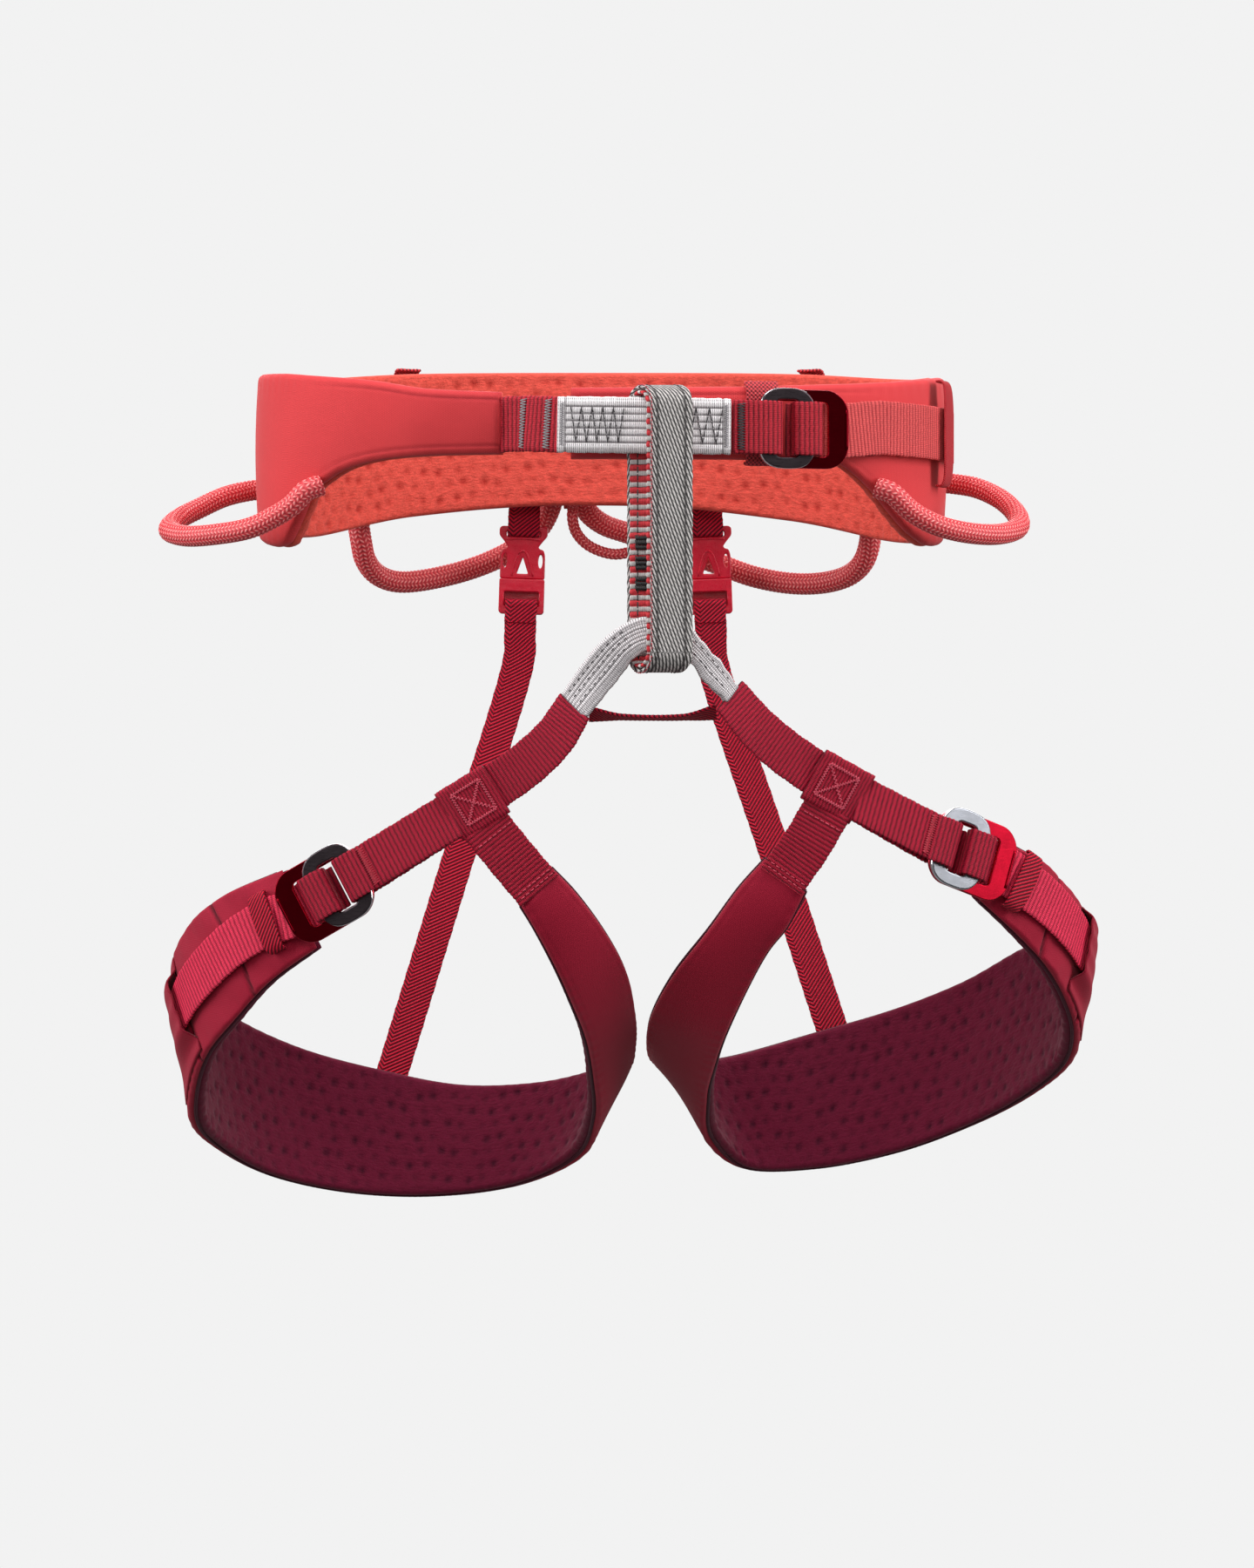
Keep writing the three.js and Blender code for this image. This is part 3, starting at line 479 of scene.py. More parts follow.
def webbing_look(name, colour, dark, light=1.5):
    """Woven webbing: yarns along the strap, with painted shade in the hollows between its cross ribs."""
    s = Shader(name, 0.55, sheen=0.02, specular=0.2)
    place, _, aside = s.weave()
    stray = s.noise(s.stretch(place, 0.5, 1.2), 1.0)
    yarns = s.wave(s.math("MULTIPLY_ADD", stray, 0.5, aside), 0.62)
    height = s.weigh(yarns, 0.55, s.fibres(place, 0.9, 4.5), 0.9)
    lit = mottled(s, place, colour, 9.0, 0.09)
    # Painted shade between the yarns, where they lie low.
    lit = s.mix(s.span(height, 0.35, 1.1), shaded(colour, 0.5), lit)
    # Painted highlight on the crowns of the ribs: the colour made lighter by the factor light.
    crown = s.math("MULTIPLY", s.span(s.tone(), 0.8, 1.0), s.span(height, 0.6, 1.2))
    lit = s.mix(s.math("MULTIPLY", crown, 0.6), lit, shaded(colour, light))
    return s.woven(dark, lit, 0.1, 0.85, height, 0.0002)


def gray_webbing_look(name, colour, dark):
    """The belay loop's tough webbing: steep leaning strokes with painted shade, almost black, in the gaps
    between them.
    """
    s = Shader(name, 0.5, sheen=0.03, specular=0.4)
    place, along, aside = s.weave()
    strokes = s.wave(s.math("MULTIPLY_ADD", along, 0.36, aside), 1.4)
    breaks = s.wave(s.math("MULTIPLY_ADD", aside, 0.9, along), 2.3)
    cells = s.math("MULTIPLY", s.span(strokes, 0.15, 0.7), s.span(breaks, 0.0, 0.3, 0.45, 1.0))
    height = s.weigh(cells, 0.8, s.fibres(place, 0.8, 4.0), 0.4)
    lit = mottled(s, place, colour, 7.0, 0.07)
    # Painted shade: the colour made almost black in the gaps between the strokes.
    lit = s.mix(s.span(cells, 0.08, 0.85), shaded(colour, 0.04), lit)
    return s.woven(dark, lit, 0.05, 0.75, height, 0.0004)


def sleeve_look(name, colour, dark):
    """The tie-in sleeves' webbing: lengthwise ribs crossed by fine yarns, with painted shade between the
    yarns and in the gaps at their corners.
    """
    s = Shader(name, 0.55, sheen=0.03, specular=0.4)
    place, along, aside = s.weave()
    stray = s.noise(s.stretch(place, 1.0, 0.3), 1.0)
    yarns = s.wave(s.math("MULTIPLY_ADD", stray, 0.4, along), 0.8)
    rows = s.wave(aside, 1.45)
    gaps = s.math("MULTIPLY", s.span(yarns, 0.5, 0.1), s.span(rows, 0.6, 0.1))
    height = s.weigh(yarns, 0.6, s.fibres(place, 4.0, 1.0), 0.5)
    lit = mottled(s, place, colour, 8.0, 0.05)
    lit = s.mix(s.span(height, 0.2, 0.75), shaded(colour, 0.52), lit)
    lit = s.mix(s.math("MULTIPLY", gaps, 0.75), lit, dark)
    return s.woven(dark, lit, 0.05, 0.75, height, 0.00024)


def striped_look(name, colour, other, dark, stripe):
    """Ribs in turn of one colour and of another."""
    s = Shader(name, 0.6, sheen=0.05, specular=0.35)
    place, along, aside = s.weave()
    turn = s.math("MODULO", s.math("ADD", s.math("DIVIDE", along, stripe), 400.0), 2.0)
    which = s.math("GREATER_THAN", turn, 1.18)
    height = s.weigh(s.wave(aside, 0.6), 0.5, s.fibres(place, 2.0, 5.0), 0.8)
    lit = s.mix(which, colour, other)
    # Painted shade between the ribs, where the yarns lie low.
    lit = s.mix(s.span(height, 0.3, 0.9), s.mix(which, shaded(colour, 0.6), shaded(other, 0.55)), lit)
    return s.woven(dark, lit, 0.05, 0.6, height, 0.00016)


def twill_look(name, colour, dark, pitch=TWILL["pitch"]):
    """Elastic woven in slanted ribs, which turn back near one edge."""
    s = Shader(name, 0.55, sheen=0.02, specular=0.2)
    place, along, aside = s.weave()
    side = s.math("ABSOLUTE", s.math("SUBTRACT", aside, TWILL["turn"]))
    slant = s.math("MULTIPLY_ADD", side, TWILL["slope"], along)
    height = s.weigh(s.wave(slant, pitch), 0.9, s.fibres(place, 2.0, 2.0), 0.3)
    lit = mottled(s, place, colour, 9.0, 0.06)
    # Painted shade in the hollows between the slanted ribs.
    lit = s.mix(s.span(height, 0.3, 0.85), dark, lit)
    return s.woven(dark, lit, 0.0, 0.6, height, 0.0004)


def knit_look(name, colour, dark):
    """Smooth stretch knit: tiny rows of loops, and soft patches of shade."""
    s = Shader(name, 0.72, sheen=0.1, specular=0.2)
    place, along, aside = s.weave()
    pitch = 0.75
    slant = s.math("MULTIPLY_ADD", along, 0.5, aside)
    loops = s.math("MULTIPLY", s.wave(along, pitch), s.wave(slant, pitch))
    height = s.weigh(loops, 0.6, s.noise(place, 1.6, 3.0, 0.7), 0.6)
    lit = mottled(s, place, colour, 26.0, 0.05)
    # Painted shade between the rows of loops.
    lit = s.mix(s.span(height, 0.25, 0.8), shaded(colour, 0.86), lit)
    return s.woven(dark, lit, 0.0, 0.8, height, 0.00009)


def lining_look(name, colour, dark):
    """Brushed lining over dimpled foam: a soft nap, with painted shade in its dimples."""
    s = Shader(name, 0.85, sheen=0.12, specular=0.12)
    place = s.cloth()
    nap = s.noise(s.stretch(place, 0.35, 0.9), 1.0, 5.0, 0.65)
    pile = s.noise(place, 1.2, 3.0, 0.75)
    patches = s.weigh(nap, 0.7, pile, 0.3)
    lit = s.mix(s.span(patches, 0.34, 0.66), shaded(colour, 0.72), shaded(colour, 1.12))
    return s.woven(dark, lit, 0.1, 0.95, s.weigh(nap, 1.6, pile, 0.5), 0.00035)


def basket_look(name, colour, dark):
    """A small plain weave: yarns over and under each other like a chequerboard."""
    s = Shader(name, 0.55, sheen=0.05, specular=0.4)
    place, along, aside = s.weave()
    warp, weft = (s.math("SINE", s.math("MULTIPLY", part, TAU / 1.7)) for part in (along, aside))
    over = s.math("MULTIPLY", warp, weft)
    height = s.span(over, -0.7, 0.9)
    lit = mottled(s, place, colour, 6.0, 0.08)
    # Painted shade where the yarns dip under each other.
    return s.done(s.mix(s.span(height, 0.1, 0.75), dark, lit), s.bump(height, 0.0003))


def braid_look(name, colour, dark, crown_highlight):
    """Braided sheath: a painted highlight on the crowns of its yarns, and painted shade in the gaps between
    them.
    """
    s = Shader(name, 0.45, sheen=0.04, specular=0.5)
    place = s.cloth()
    tone = s.tone()
    grain = s.noise(place, 1.5, 3.0, 0.7)
    lit = mottled(s, place, colour, 12.0, 0.06)
    lit = s.mix(s.span(tone, 0.66, 0.96, 0.0, 0.8), lit, crown_highlight)
    return s.done(s.mix(s.span(tone, 0.0, 0.5), dark, lit), s.bump(grain, 0.0001))


def plastic_look(name, colour):
    """Glossy moulded plastic, with the faint ripples of its mould."""
    s = Shader(name, 0.28, coat=0.25, specular=0.35)
    place = s.add("TexCoord", 3)
    ripple = s.noise(place, 260.0, 2.0)
    fine = s.noise(place, 2600.0, 2.0)
    s.set(s.surface, "Roughness", s.span(fine, 0.3, 0.7, 0.24, 0.4))
    colour = s.mix(s.span(ripple, 0.3, 0.7), shaded(colour, 0.92), shaded(colour, 1.05))
    return s.done(colour, s.bump(ripple, 0.00025))


def metal_look(name, colour, roughness, brush=0.3):
    """Metal with fine brushing and small rubbed patches."""
    s = Shader(name, roughness, metallic=1.0)
    place = s.add("TexCoord", 3)
    drawn = s.add("Mapping", 0, {"Vector": place, "Scale": (300.0, 300.0, 5000.0)})
    brushed = s.noise(drawn, 1.0, 3.0, 0.6)
    rubbed = s.noise(place, 90.0, 4.0, 0.6)
    smooth, rough = roughness * (1 - brush), roughness * (1 + brush)
    s.set(s.surface, "Roughness", s.span(brushed, 0.3, 0.7, smooth, rough))
    return s.done(s.mix(s.span(rubbed, 0.35, 0.65), shaded(colour, 0.84), shaded(colour, 1.06)))


def thread_look(name, colour):
    """Twisted sewing thread."""
    s = Shader(name, 0.45, sheen=0.04)
    twist = s.noise(s.add("TexCoord", 3), 2200.0, 2.0)
    return s.done(s.mix(s.span(twist, 0.35, 0.65), shaded(colour, 0.6), colour), s.bump(twist, 0.0001))


CORAL = srgb(214, 60, 64)
LINING = srgb(232, 90, 77)
GRAY = srgb(208, 202, 200)
BURGUNDY = srgb(162, 16, 48)
BLACK = srgb(24, 20, 22)

# In each cloth look below, the darkest colour given is the cloth's colour in painted shade, for its hollows
# and gaps.
LOOK = {
    "belt_knit": knit_look("belt_knit", CORAL, srgb(124, 12, 28)),
    "belt_lining": lining_look("belt_lining_knit", LINING, srgb(178, 44, 38)),
    "coral_webbing": webbing_look("coral_webbing", srgb(240, 94, 94), srgb(138, 14, 30), 1.3),
    "front_webbing": webbing_look("front_webbing", srgb(198, 36, 54), srgb(74, 2, 14)),
    "leg_webbing": webbing_look("leg_webbing", srgb(184, 18, 52), srgb(62, 0, 16)),
    # Painted light: the leg webbing's colour made lighter for the tail, which faces the light.
    "leg_tail": webbing_look("leg_tail_webbing_painted_light", srgb(248, 56, 92), srgb(124, 6, 36)),
    "gray_webbing": gray_webbing_look("gray_webbing", GRAY, srgb(62, 56, 54)),
    "sleeve": sleeve_look("sleeve_webbing", srgb(252, 246, 248), srgb(92, 84, 88)),
    "striped": striped_look(
        "striped_webbing", srgb(220, 52, 62), GRAY, srgb(40, 12, 16), BELAY_LINER["stripe"],
    ),
    "leg_knit": knit_look("leg_knit", BURGUNDY, srgb(60, 2, 18)),
    "leg_lining": lining_look("leg_lining_knit", srgb(104, 18, 46), srgb(44, 0, 22)),
    "piping": knit_look("edge_piping", srgb(74, 14, 34), srgb(24, 2, 10)),
    "elastic": twill_look("twill_elastic", srgb(200, 16, 50), srgb(84, 0, 22)),
    "belt_keeper": twill_look("belt_keeper", srgb(226, 60, 66), srgb(158, 30, 42), 0.8),
    "belt_braid": basket_look("belt_braid", srgb(216, 58, 66), srgb(112, 12, 26)),
    # The last colour is the painted highlight on the braid's crowns.
    "sheath": braid_look("braided_sheath", srgb(226, 62, 70), srgb(120, 8, 24), srgb(255, 190, 184)),
    "plastic": plastic_look("moulded_plastic", srgb(205, 14, 48)),
    # Painted reflection: these are lighter and darker copies of one steel and one anodized aluminium. The
    # darkest steel is painted dark for the reflections on the faces of the waist ring and the right leg's
    # ring, the pale one stands for the left leg's ring, and the brightest is a painted highlight on the rims.
    # The dark anodized copy is painted dark for the reflections on the waist plate and the right leg's plate,
    # the red one is the lighter copy for the left leg's plate, and the rim copy is a painted highlight on the
    # plates' rims.
    "steel_painted_dark": metal_look("steel_painted_dark_reflection", srgb(72, 64, 68), 0.34),
    "steel_painted_pale": metal_look("steel_painted_pale", srgb(136, 138, 144), 0.36),
    "steel_painted_highlight": metal_look("steel_rim_painted_highlight", srgb(240, 240, 244), 0.12, 0.2),
    "anodized_painted_dark": metal_look("anodized_painted_dark", srgb(104, 4, 18), 0.2),
    "red_anodized": metal_look("red_anodized", srgb(150, 14, 34), 0.36),
    "anodized_rim_painted_highlight": metal_look("anodized_rim_painted_highlight", srgb(226, 70, 88), 0.24),
    "gray_thread": thread_look("gray_thread", srgb(158, 154, 158)),
    "dark_thread": thread_look("dark_thread", srgb(64, 58, 62)),
    "black_thread": thread_look("black_thread", BLACK),
    "red_thread": thread_look("red_thread", srgb(196, 30, 58)),
    "crimson_thread": thread_look("crimson_thread", srgb(222, 74, 98)),
}

# ---------------------------------------------------------------- padded bands


DIMPLE = {"along_pitch": 8.2, "up_pitch": 6.2, "radius": 1.75}


def dimples(along, up):
    """A staggered grid of soft round hollows, a little uneven: 1 in the middle of each and 0 between them."""
    along_pitch, up_pitch = DIMPLE["along_pitch"], DIMPLE["up_pitch"]
    total = np.zeros(np.broadcast(along, up).shape)
    nearest_row = np.round(up / up_pitch)
    for row in (nearest_row - 1, nearest_row, nearest_row + 1):
        shift = np.mod(row, 2) * along_pitch / 2
        nearest = np.round((along - shift) / along_pitch)
        for column in (nearest - 1, nearest, nearest + 1):
            stray = 1.1 * np.sin(12.9 * row + 78.2 * column)
            drop = 0.9 * np.sin(37.7 * row + 11.1 * column)
            share = 0.7 + 0.3 * np.sin(3.7 * row + 5.1 * column)
            apart = (along - shift - column * along_pitch - stray) ** 2 + (up - row * up_pitch - drop) ** 2
            total = total + share * np.exp(-apart / DIMPLE["radius"] ** 2)
    return np.minimum(total, 1.2)


END_TAPER = 2.5  # how far from its ends a pad starts to thin


def pad(name, along, place, height, travel, outset, thickness, look, outer, inner, crown, columns):
    """A padded band with round edges. place gives its points, and outer and inner its faces' (rise, painted
    light), which is painted shade where it is low.
    """
    r = thickness / 2
    tall = height[:, None]
    flat = np.linspace(1, -1, columns)
    turn = np.linspace(0, math.pi, 9)[1:-1]
    reach = tall / 2 - r
    up = np.hstack([flat * reach, -reach - r * np.sin(turn), -flat * reach, reach + r * np.sin(turn)])
    out = np.concatenate([
        np.zeros(columns), -r + r * np.cos(turn), np.full(columns, -2 * r), -r - r * np.cos(turn),
    ])
    facing = np.concatenate([np.ones(columns), np.cos(turn), -np.ones(columns), -np.cos(turn)])
    distance = travel[:, None]
    outer_rise, outer_painted_light = outer(distance, up, tall)
    inner_rise, inner_painted_light = inner(distance, up, tall)
    is_outer = facing > 0
    rise = np.where(is_outer, outer_rise, -inner_rise) * np.abs(facing)
    to_end = np.minimum(distance - travel[0], travel[-1] - distance)
    thin = np.sqrt(np.clip(1 - (1 - np.clip(to_end / END_TAPER, 0, 1)) ** 2, 0.03, 1))
    outwards = outset - r + (out + r + rise) * thin + crown * (1 - (2 * up / tall) ** 2)
    points = place(along, up / tall + 0.5, outwards)
    tone = np.where(is_outer, outer_painted_light, inner_painted_light)
    weave = np.stack(np.broadcast_arrays(distance, up, facing[None, :]), -1)
    return skin(name, points, look, weave, tone)


def column(table, key, which):
    """A smooth value from a table's column, as part.mjs reads it."""
    row = np.clip(np.searchsorted(table[:, 0], key, side="right") - 1, 0, len(table) - 2)
    span = table[row + 1, 0] - table[row, 0]
    t = np.clip((key - table[row, 0]) / span, 0, 1)

    def slope(k):
        before, after = np.maximum(k - 1, 0), np.minimum(k + 1, len(table) - 1)
        return (table[after, which] - table[before, which]) / (table[after, 0] - table[before, 0])

    return (
        (2 * t**3 - 3 * t**2 + 1) * table[row, which] + (t**3 - 2 * t**2 + t) * span * slope(row)
        + (3 * t**2 - 2 * t**3) * table[row + 1, which] + (t**3 - t**2) * span * slope(row + 1)
    )


def belt_point(degrees, outset, height):
    """A point at an angle around the belt, a distance outside its outer surface, at a height."""
    turn = np.radians(degrees)
    power = 2 / BELT["squareness"]
    cos, sin = np.cos(turn), np.sin(turn)
    x = np.sign(cos) * np.abs(cos) ** power
    y = np.sign(sin) * np.abs(sin) ** power
    bend = BELT["squareness"] - 1
    nx = np.sign(cos) * np.abs(x) ** bend / BELT["half_width"]
    ny = np.sign(sin) * np.abs(y) ** bend / BELT["half_depth"]
    size = np.hypot(nx, ny)
    parts = (
        BELT["centre_x"] + BELT["half_width"] * x + nx / size * outset,
        BELT["half_depth"] * y + ny / size * outset,
        height,
    )
    return np.stack(np.broadcast_arrays(*parts), -1)


def belt_outward(degrees):
    return (belt_point(degrees, 1.0, 0.0) - belt_point(degrees, 0.0, 0.0)).ravel()


def belt_along(degrees):
    """The level direction around the belt, anticlockwise from above."""
    return unit(np.cross(UP, belt_outward(degrees)))


def belt_place(degrees, share, outset):
    top, bottom = column(BELT_EDGES, degrees, 1)[:, None], column(BELT_EDGES, degrees, 2)[:, None]
    return belt_point(degrees[:, None], outset, bottom + (top - bottom) * share)


def soft_lining(distance, up, tall):
    """The lining's inner face: dimpled foam under a brushed knit, puckered at its edges."""
    hollow = dimples(distance, up)
    edge = np.abs(2 * up / tall)
    flatten = 1 - fade(edge, 0.82, 0.98)
    ripples = 0.35 * np.sin(distance * 0.83 + up * 0.1) + 0.2 * np.sin(distance * 1.9)
    pucker = fade(edge, 0.75, 1.0) * ripples
    rolls = 0.5 * np.sin(distance / 17 + up / 11) + 0.35 * np.sin(distance / 9.3 - up / 7.7)
    rise = flatten * (0.35 * rolls - 1.0 * hollow) + pucker
    # The second value is the painted light: painted shade in the dimples and the puckers.
    return rise, 1 - 0.85 * flatten * hollow - 0.15 * fade(-pucker, 0.0, 0.5)


def plain_face(distance, up, tall):
    shape = np.broadcast(distance, up).shape
    return np.zeros(shape), np.ones(shape)


def belt_shell_face(distance, up, tall):
    """Stretched knit over foam: soft folds towards its front ends, and a stitched hollow along its edges."""
    edge = np.abs(2 * up / tall)
    to_front = np.minimum(distance, BELT_LENGTH - distance)
    folds = bell(to_front - 28, 26) * np.sin(distance / 5.2 + up / 26) * (1 - 0.5 * edge)
    swell = 0.5 * np.sin(distance / 31 + up / 23) + 0.3 * np.sin(distance / 13.7 - up / 15)
    gather = fade(edge, 0.6, 1.0) * 0.12 * np.sin(distance * 0.9 + 2 * np.sin(distance / 11))
    hem = bell(edge * tall / 2 - (tall / 2 - 3.4), 0.55)
    rise = 0.55 * folds + 0.5 * swell + gather - 0.32 * hem
    # The second value is the painted light: painted shade in the hem's hollow and towards the belt's front
    # ends.
    return rise, 1 - 0.3 * hem - 0.4 * bell(to_front, 62) + 0 * up


BELT_ALONG = np.linspace(BELT["start"], BELT["end"], 640)
BELT_TRAVEL = np.concatenate([
    [0], np.cumsum(np.linalg.norm(np.diff(belt_point(BELT_ALONG, 0.0, 0.0), axis=0), axis=1)),
])
BELT_LENGTH = BELT_TRAVEL[-1]
BELT_HEIGHT = column(BELT_EDGES, BELT_ALONG, 1) - column(BELT_EDGES, BELT_ALONG, 2)


def waist_belt():
    shell = pad(
        "belt_shell_knit", BELT_ALONG, belt_place, BELT_HEIGHT, BELT_TRAVEL, 0.2, 5.2, LOOK["belt_knit"],
        belt_shell_face, plain_face, 1.2, 34,
    )
    belongs(shell, "waist", "belt_knit", "belt_shell", "belt_core")
    lining = pad(
        "belt_lining_soft", BELT_ALONG, belt_place, BELT_HEIGHT - 1.0, BELT_TRAVEL, -4.6, 3.8,
        LOOK["belt_lining"], plain_face, soft_lining, 1.2, 44,
    )
    belongs(lining, "waist", "belt_lining_knit", "belt_lining")


# ---------------------------------------------------------------- tie-in points and belay loop


def cross_ribs(pitch=RIB_PITCH, depth=0.34):
    """Ribs across a strap, with a slight break where each yarn turns at its edges."""

    def relief(distance, aside, side):
        return ridge(distance + 0.12 * np.sin(aside * 1.7), pitch)

    relief.depth = depth
    return relief


def sleeve_ribs(length):
    """Ribs along the tie-in sleeve, with flat woven borders at its two ends."""
    pitch, border = SLEEVE["rib"], SLEEVE["border"]

    def relief(distance, aside, side):
        ribs = ridge(aside + pitch / 2, pitch)
        to_end = np.minimum(distance, length - distance)
        inner = fade(to_end, border - 0.5, border + 0.5)
        groove = bell(to_end - border, 0.5)
        return (ribs * inner + (0.75 + 0.2 * ridge(distance, 0.9)) * (1 - inner)) * (1 - 0.7 * groove)

    relief.depth = 0.5
    return relief


def twill(depth=0.22, pitch=TWILL["pitch"]):
    """The elastic's slanted ribs, in step with twill_look's."""

    def relief(distance, aside, side):
        slant = distance + TWILL["slope"] * np.abs(aside - TWILL["turn"])
        return 0.45 + 0.55 * (0.5 + 0.5 * np.sin(slant * TAU / pitch))

    relief.depth = depth
    return relief


FRONT_WEBBING_ROUTE = [(-51.6, -99.6, 1), (-43, -104, 1), (-36, -109, 0.5), (-27.4, -112.6, 0)]
SLEEVE_ROUTE = [(-28.2, -112.8, 0), (-8, -114, -0.3), (14, -114.3, -0.6), (42, -111.6, -0.8)]
SLEEVE = {"height": 23, "thickness": 4.4, "rib": 2.9, "border": 3.2}
LOWER_SLEEVE_ROUTE = [
    (-21.6, -104.5, -114.2), (-11, -109.6, -100.3), (-2, -113, -90), (5.5, -114.2, -85.6),
    (13.3, -114.2, -84.8), (21, -114, -86.4), (27.8, -112.6, -92), (35, -109.6, -100.6),
    (42.6, -105.2, -109.6),
]
LOWER_SLEEVE_FACINGS = [(-0.3, -1, 0.4), (0, -1, 0.1), (0, -1, 0.1), (0.5, -1, 0.4)]
LOWER_SLEEVE = {"height": 14, "thickness": 3.8}
SPACER_ROUTE = [(-15.5, -98.6, -117.4), (-2, -99, -118.6), (24, -99, -118.6), (36.5, -98.6, -116.6)]
SPACER_FACINGS = [(0, -0.55, -1), (0, -0.14, -1), (0, -0.1, -1), (0, -0.14, -1), (0, -0.55, -1)]
SPACER = {"width": 12, "thickness": 1.4}
FRONT_WEBBING_THICKNESS = 2.8


def surface_of(lay, thickness, face=1):
    """Places on the front of a strap, where face is 1, or on its back, where it is -1, for its stitching."""

    def place(distance, aside, lift):
        return lay.place(np.array(distance), np.array(aside), face * (thickness / 2 + lift))

    return place


def upper_tie_in():
    front = [(0, -1, 0)]
    lay = Lay(FRONT_WEBBING_ROUTE, front)
    thickness = FRONT_WEBBING_THICKNESS
    piece = strap("front_webbing", lay, WAIST_WEBBING, thickness, LOOK["front_webbing"], cross_ribs())
    belongs(piece, "waist", "red_webbing", "front_webbing_right")
    place = surface_of(lay, thickness)
    tacks = [zigzag(place, (at, 10), (at, -10), 1.7, 34, 0.3) for at in (10.9, 22.6)]
    stitched("front_webbing_bar_tacks", tacks, 0.2, LOOK["gray_thread"], "waist")

    lay = Lay(SLEEVE_ROUTE, front)
    height, thickness = SLEEVE["height"], SLEEVE["thickness"]
    ribs = sleeve_ribs(lay.length)
    piece = strap("tie_in_sleeve", lay, height, thickness, LOOK["sleeve"], ribs, 0.5, 56)
    belongs(piece, "waist", "tie_in_webbing", "upper_tie_in_sleeve")
    place = surface_of(lay, thickness)
    runs = []
    for start, end, waves in ((5.5, 27, 5), (45, 67, 4)):
        pitch = (end - start) / waves
        for k in range(waves):
            low, high = start + k * pitch, start + (k + 1) * pitch
            middle = (low + high) / 2
            runs += dashes(place, (low, -7.2), (middle, 7.2), 2.9, 0.74, 0.25)
            runs += dashes(place, (middle, 7.2), (high, -7.2), 2.9, 0.74, 0.25)
    stitched("tie_in_sleeve_stitches", runs, 0.27, LOOK["dark_thread"], "waist")
    ends = [zigzag(place, (at, 8.6), (at, -8.6), 0.7, 40, 0.18) for at in (1.9, lay.length - 1.9)]
    stitched("tie_in_sleeve_end_tacks", ends, 0.17, LOOK["gray_thread"], "waist")


def lower_tie_in():
    lay = Lay(LOWER_SLEEVE_ROUTE, LOWER_SLEEVE_FACINGS)
    length = lay.length

    def relief(distance, aside, side):
        rolled = bell(np.abs(aside) - 4.6, 0.45)
        to_end = np.minimum(distance, length - distance)
        return ridge(aside + 0.75, 1.5) * (1 - 0.6 * rolled) * fade(to_end, -0.3, 1.2)

    relief.depth = 0.4

    def swell(distance):
        wide = 0.16 * (1 - fade(distance, length * 0.2, length * 0.5))
        narrow = 0.24 * fade(distance, length * 0.55, length * 0.72)
        bulges = 0.07 * np.sin(distance / 2.9) + 0.04 * np.sin(distance / 1.3)
        return wide - narrow + bulges * fade(distance, 0, length)

    height, thickness = LOWER_SLEEVE["height"], LOWER_SLEEVE["thickness"]
    piece = strap("lower_sleeve", lay, height, thickness, LOOK["sleeve"], relief, 0.4, 44, swell=swell)
    belongs(piece, "waist", "tie_in_webbing", "lower_tie_in_sleeve")
    place = surface_of(lay, thickness)
    runs = []
    for aside in (-4.9, -1.6, 1.9):
        runs += dashes(place, (3.5, aside), (length * 0.42, aside * 0.9), 3.1, 0.35, 0.1)
    for aside in (-2.6, 1.4):
        runs += dashes(place, (length * 0.62, aside), (length - 4, aside), 3.1, 0.35, 0.1)
    stitched("lower_sleeve_stitches", runs, 0.2, LOOK["dark_thread"], "waist")
    lay = Lay(SPACER_ROUTE, SPACER_FACINGS)
    piece = strap("spacer_strap", lay, SPACER["width"], SPACER["thickness"], LOOK["elastic"], twill())
    belongs(piece, "waist", "red_webbing", "leg_spacer_strap")


class FlatTurn(Lay):
    """A strap whose width always lies the same way, as round a bar."""

    def __init__(self, route, width_way):
        super().__init__(route, [(0, 0, 1)])
        self.width_way = unit(np.array(width_way, float))

    def at(self, distance):
        distance = np.asarray(distance, float)
        heading = self.curve.heading(distance)
        across = np.broadcast_to(self.width_way, heading.shape)
        return self.curve.along(distance), across, unit(np.cross(across, heading))


def belay_route(inset, thickness):
    """Up the front strand, over the top, down the back strand and under the bottom."""
    half = BELAY["depth"] / 2 - inset - thickness / 2
    straight = BELAY["height"] / 2 - BELAY["depth"] / 2
    places = [(-half, z) for z in np.linspace(-straight, straight, 14)[:-1]]
    places += [(-half * math.cos(t), straight + half * math.sin(t)) for t in np.linspace(0, math.pi, 15)]
    places += [(half, z) for z in np.linspace(straight, -straight, 14)[1:-1]]
    places += [(half * math.cos(t), -straight - half * math.sin(t)) for t in np.linspace(0, math.pi, 15)]
    drift = BELAY["drift"] / BELAY["depth"]
    return [vec(*BELAY["centre"]) + vec(-y * drift, y, z) for y, z in places]


